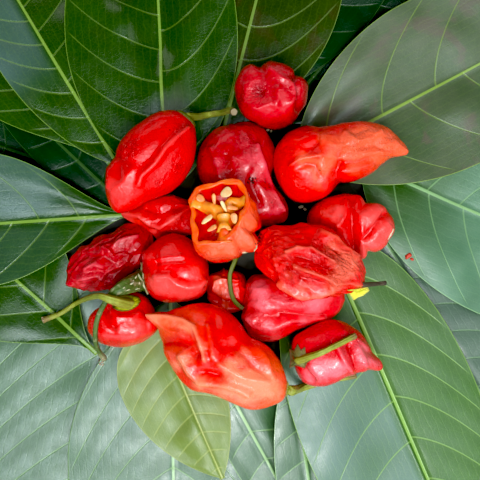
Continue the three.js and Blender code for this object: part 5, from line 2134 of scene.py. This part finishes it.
           (1.5, 1.5, 7, 2, 9, -2, 9.5, -6), (1.2, -1.3, -17, -4, -14.5, -8, -12, -11), (1.6, 0.9, -13, -2,
           -11, -7, -8, -10), (1.3, 1.0, 1, 9, 7, 5, 11, 2)),
          crinkles=((6, 6, 3.5, 0.7), (-4, 0, 3, 0.4)),
          sheen_spots=((-8, -6, 5, 1.0), (-1, -6.5, 4, 0.9), (-13, -9, 4, 0.7), (9, -2, 3.5, 0.8),
           (8, 3, 3.5, 0.6), (14, -4, 3, 0.5), (0, 5, 4, 0.3))),
        Fruit("pod_hooked", (13.5, 31, 0), (69, 35.5, 0), 31, 0.27, 2.3, 1.6, 3, 0.04, orange,
          Skins.ORANGE, bow=3, swells=((0.78, 180, 0.14, -3),), rings=120, sides=150,
          wrinkles=Wrinkles(0.5, 13, 0.16, 7),
          outline=(26.8, 2.4, 25.2, 5, 22.5, 8, 19, 11, 15, 12.5, 10, 13.5, 4, 13.7, -2, 12.8, -8, 11.7,
           -15, 12, -20, 10.5, -24, 8, -27, 4, -28, 0, -28.3, -5, -27, -10, -25, -14, -22, -17.5,
           -18, -19.5, -13, -19.5, -8, -18, -4, -15, -1.5, -12, 0, -11.5, 4, -11, 8, -9.5, 12, -7.5,
           16, -4.2, 19, -1.8, 21.5, -0.4, 24.5, -0.6, 26.6, 0.4),
          folds=((1.2, 1.5, -21, -4, -17, -1.5, -12, -0.5, -9, 0), (1.8, -1.5, -14, 3, -10.5, 6, -10, 10),
           (2.2, 0.8, -9, 9, -8, 5, -7.5, 0, -8.5, -5), (1.8, -1.2, -16, -4, -12, -5, -10, -9), (1.7, -1.9,
           -2.5, -14, -3, -8, -1, -4), (1.5, 1.3, 0, -7, 6, -6, 12, -4), (1.4, -1.1, -1, -3.5, 6, -3,
           12, -1), (1.8, -1.2, -2, 10, 0, 4, -2, 0), (2.6, 0.9, 3, 6, 9, 9, 15, 8), (1.4, 1.0, 17, 4,
           21, 5, 26, 1.5), (1.1, 1.0, 1, 9.5, 6, 5.5, 11, 6.5, 15, 9.5), (1.4, -1.0, 8, 3, 13, 4.5,
           18, 2), (1.1, 0.9, 10, 0.5, 15, 1.5, 20, 0.8), (1.3, -0.9, 3, 12, 5, 9, 8, 9.5)),
          crinkles=((-22, 1.5, 3, 0.8), (3, 3, 5, 0.6), (-17, -11, 5, 0.3), (9, 5, 6, 0.6),
           (19, 4, 5, 0.5), (-5, -8, 4, 0.4)),
          sheen_spots=((-8, 7, 4, 0.6), (0, 6, 5, 0.7), (8, 8.5, 5, 0.9), (14, 7, 5, 0.8), (20, 6, 5, 0.8),
           (25, 2, 3.5, 0.8), (6, 1, 5, 0.7), (-3, -1, 4.5, 0.7), (-9, -4.5, 4.5, 0.8),
           (-16, -2, 3.5, 0.9), (14, -1, 5, 0.6), (5, -6, 4, 0.5), (-11, -11, 5, 0.5))),
        Fruit("pod_upper_left", (-21.5, 50.5, 0), (-51.5, 14, 0), 29.5, 0.45, 2.3, 2.4, 3, 0.05, red,
          Skins.POLISHED, wrinkles=Wrinkles(0.4, 16, 0.05, 9),
          outline=(18.1, 4, 18.5, 8, 18.3, 12, 17.5, 15, 14.5, 18.5, 10, 20.7, 4, 20.8, 0, 19.5, -4, 17,
           -8.5, 13.5, -12, 9.5, -14.5, 5.5, -16, 2.5, -17.5, -1, -18.5, -5, -19, -10, -18.3, -15,
           -16.5, -19, -14, -21, -10, -20.5, -6, -19, -2, -16.5, 3, -14.5, 8, -12.3, 12.5, -8.5, 15.5, -4,
           17.3, 0),
          folds=((1.4, 1.9, 14, 13, 10, 10, 5, 5, 1, -1, -4, -5.5, -5, -9), (2.2, -0.5, 12, 16, 6, 9,
           0, 2.5, -4, -1), (2.2, -1.6, -15, 2, -11.5, 0, -10, -1.5), (2.2, -1.5, -14.5, -3, -13.5, -7),
           (2.2, 1.1, -8.5, -3, -11.5, -8, -15.5, -11.5), (1.0, 1.0, -17.6, -3, -17.4, -10)),
          crinkles=((-8, 7, 3.6, 1.3), (-11, 3, 3, 1.2), (11, -2, 3.2, 1.2), (3, -8.5, 2.4, 1.0),
           (11, 12.5, 3, 0.9)),
          sheen_spots=((-13, -13, 5, 0.8), (-9, -8, 3, 0.6), (-17, -9, 3, 0.5), (2, 1, 2, 0.5),
           (8, 7.5, 2, 0.5))),
        Fruit("pod_crinkled", (49.5, -17, 0), (7, -2, 0), 26.5, 0.5, 2.4, 2.3, 4, 0.04, orange,
          Skins.FLAME, wrinkles=Wrinkles(0.5, 11, 0.4, 4.2, 0.5, 0.06), rings=150, sides=200,
          sheen_spots=((13, -4, 6, 0.8), (16, 1, 5, 0.6), (8, 6, 4, 0.6), (-3, -11, 5, 0.5), (8, -11, 4, 0.6),
           (-9, -5, 4, 0.3)),
          outline=(20.5, 0, 19, 3, 16, 5.7, 13, 8.7, 10, 11.5, 6, 13.7, 2, 15, -3, 15.5, -8, 15, -13, 14.5,
           -18, 13, -20.5, 10, -21.5, 6, -22, 2, -21, -2, -19, -4.5, -16, -6.5, -13, -9, -9, -12.5,
           -5, -14, 0, -14.7, 5, -14, 10, -13.5, 14, -12.7, 18, -11.7, 20.5, -10, 21.7, -7, 21.5, -3),
          folds=((0.9, 1.7, -9, 3.5, -5, 5.4, 0, 5.2, 4, 3, 9, 0), (1.4, -2.2, -6, 2.3, 0, 0.8, 6, -2.7,
           9.5, -3.5), (1.1, 2.0, -6, -2, 0, -3.7, 6, -6, 9, -8), (1.5, -2.2, -4, -7.5, 2, -8.7, 6, -9.5),
           (1.1, 1.8, -12, -8, -8, -11, -3, -13, 3, -12.5, 8, -11), (1.2, 1.4, 4, 11, 9, 9, 13, 5.5,
           18, 2), (1.2, -1.3, 5, 8, 10, 5, 14, 1.5), (1.0, 1.2, 9, -8.5, 15, -8, 20, -9), (1.2, 0.9,
           -14, 1, -13, -4, -10, -8)),
          crinkles=((-11, 1, 5, 1.5), (-15, 7, 4, 1.2), (11, -5, 6, 1.6), (-6, -6, 5, 1.3),
           (11, 0, 5, 1.3), (4, 4, 5, 1.2), (0, -2, 6, 0.7))),
        CutFruit("pod_cut", (-0.5, -2, 0), (-10.5, 19.5, 31), 28, 0.5, 2.2, 2.8, 4, 0.06, orange,
          Skins.ORANGE, wrinkles=Wrinkles(0.8, 9, 0.35, 5), sides=176,
          outline=(11.5, 6, 12.3, 2, 13.5, -2.5, 12, -5.3, 13.1, -8.5, 11.9, -12, 9, -12.8, 7.2, -13.3,
           5.6, -15.2, 3, -16.3, 0.8, -16.8, -3, -17, -6, -16.5, -9, -14.5, -11.5, -11.5, -13, -8,
           -13.5, -4, -13.8, 0, -13.8, 4, -14, 8, -13, 11, -10, 13, -5, 14.5, 0, 15.5, 4, 15.5, 7.5, 12.5,
           9.5, 9),
          folds=((1.2, -1.5, 6, -4, 10, -5.3, 13.5, -5.6), (1.2, -1.1, 4, -9, 6.5, -14)),
          bulges=((11, -1, 3.5, 1.1), (10, -9.5, 3.5, 1.5), (3, -13.5, 3, 1.0), (-5, -14, 3, 0.8)),
          crinkles=((-8, -14, 3.5, 0.9), (8, -7, 4, 0.4)),
          sheen_spots=((3, -12, 5, 1.0), (7, -6, 4.5, 1.0), (-5, -13, 5, 0.8), (7, -1, 4, 0.7), (11, 2, 4, 0.4),
           (10, -10, 3, 0.7)),
          opening=(-14, -0.5, -13, -5, -13, -8, -11, -10.5, -6.5, -10, -2, -9.6, 1.5, -8, 4.5, -4.5,
           6.5, -1, 8.5, 2.5, 9.8, 5.5, 9, 9, 8, 12.5, 6, 15.5, 2.5, 16.2, -1.5, 15.6, -4, 14.2, -8.5, 14,
           -12, 13, -13.5, 10.3, -15, 7.5, -13.5, 3),
          ribs=(Rib((-13.0, 7.3, -9.5, 6.8, -5.5, 5.2, -1.5, 3.5), -0.6, 8, 4.2), Rib((8.8, 8.2, 5, 7.8,
           1.5, 7.6, -0.5, 4), -0.9, 8, 3.8), Rib((-0.9, -8.6, -0.8, -6, -0.8, -3, -1.0, 1.0), 0.1, 9, 5.2,
           2), Rib((-0.6, -4.2, -0.8, -2.2, -1.0, 0, -1.1, 2), 0.6, 5, 4.2)),
          seeds=(Seed((0.2, 10.4), 0.9, 30, 4.8, 4.0, finish=1), Seed((-4.5, 7.8), 0.5, 95, 4.6, 1.6),
           Seed((-0.6, 4.9), 1.4, 118, 4.9, 1.5, finish=1), Seed((2.8, 4.3), 0.9, 172, 4.6, 1.7),
           Seed((-7.2, -0.2), 0.6, 38, 5.4, 2.1, finish=1), Seed((-5.2, -3.6), -0.4, 30, 4.2, 1.9),
           Seed((3.4, 0.2), 1.0, 98, 4.2, 2.6), Seed((-9.8, 8.2), 0.3, 150, 3.6, 2.8))),
    ]


def stems() -> list[Stem]:
    """The stalks that show.

    Returns:
        One entry for each stalk.
    """
    return [
        Stem("stalk_centre_left", "pod_centre_left", 5.8, 4.4, ((-47, -19, 3), (-52.3, -22.6, 1.5),
          (-54.2, -25.4, 1.1), (-57.3, -32.8, 1), (-58.4, -42.6, 0.95), (-57.9, -50.4, 1.2)), Stems.DUSTY,
          cap_finish=Stems.DUSTY, star=0.8, lift=0.5),
        Stem("stalk_low_left", "pod_low_left", 5.6, 2.5, ((-50.5, -23.6, 1.7), (-57, -22.3, 1.2),
          (-69, -26.5, 1), (-77, -31.5, 1), (-84.5, -34.5, 1.2)), Stems.FRESH, cap_finish=Stems.LIME,
          cap_thickness=0.8, lift=0.4, cap_at=(1.5, 7.0),
          cap_outline=(-5, 5.4, -3, 4.3, -1, 3.9, 1.5, 4.1, 3.5, 4.8, 5.6, 6.2, 7, 8.3, 6, 10, 3, 11,
           0, 11.3, -3, 10.8, -4.8, 8.5)),
        Stem("stalk_bottom", "pod_bottom", 3.4, 2, ((26, -62.5, 1.6), (36, -60.5, 1), (49.5, -58, 1)),
          Stems.FRESH),
        Stem("stalk_low_right", "pod_low_right", 5.4, 1.8, ((31, -45, 1.25), (37.5, -42, 1.15),
          (46, -38.3, 1.2)), Stems.FRESH, cap_finish=Stems.DRY, cap_thickness=0.7, lift=0.5,
          cap_at=(-17, -2.5),
          cap_outline=(-21.5, -6, -18.5, -5, -15, -6, -14.2, -4, -12, -2.4, -14.3, -0.6, -15, 3,
           -16.6, 1.4, -18, 4.2, -19.4, 1.6, -21.5, 2, -21, -2)),
        Stem("stalk_upper_left", "pod_upper_left", 5, 1.6, ((-17.8, 51.9, 1.5), (-15, 53.2, 1.4),
          (-11.4, 53.9, 1.3), (-7.3, 53.7, 1.25), (-4.1, 53.0, 1.25), (-2.4, 51.6, 1.3)), Stems.FRESH,
          cap_finish=Stems.OLIVE, star=0.1),
        Stem("stalk_crinkled", "pod_crinkled", 5.2, 1.0, ((55, -17.6, 0.8), (58.6, -17.3, 0.85)),
          Stems.BROWN, end=Stems.BROWN, cap_finish=Stems.YELLOW, cap_thickness=0.9, lift=0.7,
          cap_at=(19.2, -12.2), root_at=(21.3, -9.3),
          cap_outline=(14.6, -11.3, 16.5, -11.1, 18.5, -10.9, 21, -10.4, 22.9, -10.2, 23.5, -11.6,
           21, -13.6, 19, -14.3, 17.2, -15.5, 16.2, -14)),
        Stem("stalk_cut", "pod_cut", 4.8, 1.5, ((-2, -8, 1), (-4.2, -15, 0.95), (-3, -24, 0.95),
          (1, -28.5, 1)), Stems.OLIVE, star=0.1),
    ]


def loose_bits() -> list[Crumbs]:
    """The small loose bits that lie on the heap and the leaves.

    Returns:
        One entry for each kind.
    """
    pale = FleshFinish("pale scrap", (0.5, 0.36, 0.2), (0.75, 0.6, 0.42), 500.0, 0.6, 0.0, 0.1)
    dark = FleshFinish("dark speck", (0.012, 0.006, 0.004), (0.03, 0.015, 0.01), 600.0, 0.85, 0.0, 0.0)
    red = FleshFinish("red scrap", (0.45, 0.02, 0.008), (0.65, 0.06, 0.02), 500.0, 0.5, 0.1, 0.1)
    mould = tuple(Crumb((4.7 + 2.0 * math.cos(k * 2.3) * (0.3 + 0.08 * k), 24.8 + 1.1 * math.sin(k * 1.7)),
                        1.0 - 0.05 * k, 0.55, 40 * k, 0.12) for k in range(12))
    grime = tuple(Crumb((11.0 + 1.1 * math.cos(k * 2.1), 23.4 + 2.0 * math.sin(k * 1.3)), 0.55, 0.4,
                        50 * k, 0.05) for k in range(6))
    dirt = tuple(Crumb((7.6 + 1.5 * math.cos(k * 2.4) * (0.3 + 0.07 * k), 1.0 + 2.6 * math.sin(k * 1.9)),
                       1.0 - 0.04 * k, 0.5, 55 * k, 0.1) for k in range(11))
    return [
        Crumbs("pale_scraps", "flesh", pale, (Crumb((25.4, 13.8), 2.2, 1.3, 20),
          Crumb((27, 12.8), 1.5, 1.1, -30), Crumb((11.6, 45.8), 1.5, 0.9, 10),
          Crumb((12.9, 45.4), 1.1, 0.8, 60), Crumb((62.9, 2.6), 5.0, 1.0, 60, 0.1))),
        Crumbs("cap_scraps", "stalk", FleshFinish("cap scrap", (0.24, 0.24, 0.1), (0.6, 0.52, 0.34), 700.0,
          0.7, 0.0, 0.1), (Crumb((1.8, -5.1), 4.6, 0.8, 4, 0.2), Crumb((6.3, -3.9), 2.0, 0.7, 60, 0.2),
          Crumb((6.9, -2.8), 1.6, 0.6, 80, 0.2), Crumb((-42.8, -12.4), 4.8, 1.3, 78, 0.6, 25),
          Crumb((-41.6, -15.6), 3.2, 0.9, -60, 0.4), Crumb((-40.2, -18.6), 3.6, 0.8, -72, 0.3),
          Crumb((-39.4, -22.2), 3.0, 0.9, -50, 0.3), Crumb((-43.6, -15.8), 2.4, 0.6, 55, 0.1),
          Crumb((-45.5, -18.4), 2.6, 0.6, 35, 0.1), Crumb((-43.2, -20.4), 2.6, 0.6, 10, 0.1),
          Crumb((-46.8, -20.9), 2.0, 0.5, 20, 0.1), Crumb((-42, -18), 1.3, 0.6, 80, 0.1),
          Crumb((-44.6, -17), 1.0, 0.5, 30, 0.1), Crumb((-48.4, -20), 1.2, 0.5, 50, 0.1),
          Crumb((-41.4, -21.5), 1.2, 0.6, 0, 0.1))),
        Crumbs("stem_scraps", "stalk", FleshFinish("stem scrap", (0.3, 0.17, 0.1), (0.55, 0.38, 0.26),
          500.0, 0.7, 0.0, 0.1), (Crumb((-58.7, -50.2), 1.3, 0.7, 80), Crumb((-57.4, -50.9), 1.2, 0.7, 30),
          Crumb((-58.3, -51.7), 1.2, 0.7, -40), Crumb((-57.1, -51.9), 1.0, 0.6, 70),
          Crumb((-56.9, -49.6), 1.0, 0.6, 10), Crumb((-82.3, -32.3), 0.9, 0.6, 30),
          Crumb((-82, -33.4), 0.9, 0.6, 120))),
        Crumbs("dark_specks", "stalk", dark, mould + grime + dirt),
        Crumbs("red_scraps", "skin_red", red, (Crumb((70, -6.7), 3.4, 1.9, 35),
          Crumb((71.6, -8), 1.6, 1.2, 0))),
    ]


def part_shift(leaf: Leaf) -> Array:
    """How far the part was moved to centre it, from one leaf's box."""
    spots = leaf.corners().reshape(-1, 2)
    low, high = (np.array(corner)[:2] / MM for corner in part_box(leaf.node))
    return (low + high) / 2 - (spots.min(axis=0) + spots.max(axis=0)) / 2


def main() -> None:
    """Builds the leaves, the fruits, the stalks and the studio in turn."""
    logging.basicConfig(level=logging.INFO, format="%(name)s: %(message)s")
    palette = Palette()
    all_leaves = leaves()
    shift = part_shift(all_leaves[-2])
    ground = Ground(shift)
    for number, leaf in enumerate(all_leaves):
        ground.add(leaf.build(shift, palette, 100 + number))
    heap = {}
    for number, fruit in enumerate(fruits()):
        fruit.eye = shift
        fruit.tree = ground.add(fruit.build(palette, 200 + number))
        heap[fruit.node] = fruit
    for number, stem in enumerate(stems()):
        ground.add(stem.build(heap[stem.of], shift, palette, 300 + number))
    for number, bits in enumerate(loose_bits()):
        bits.build(ground, palette, 400 + number)
    Studio().build(shift)


if __name__ == "__main__":
    main()
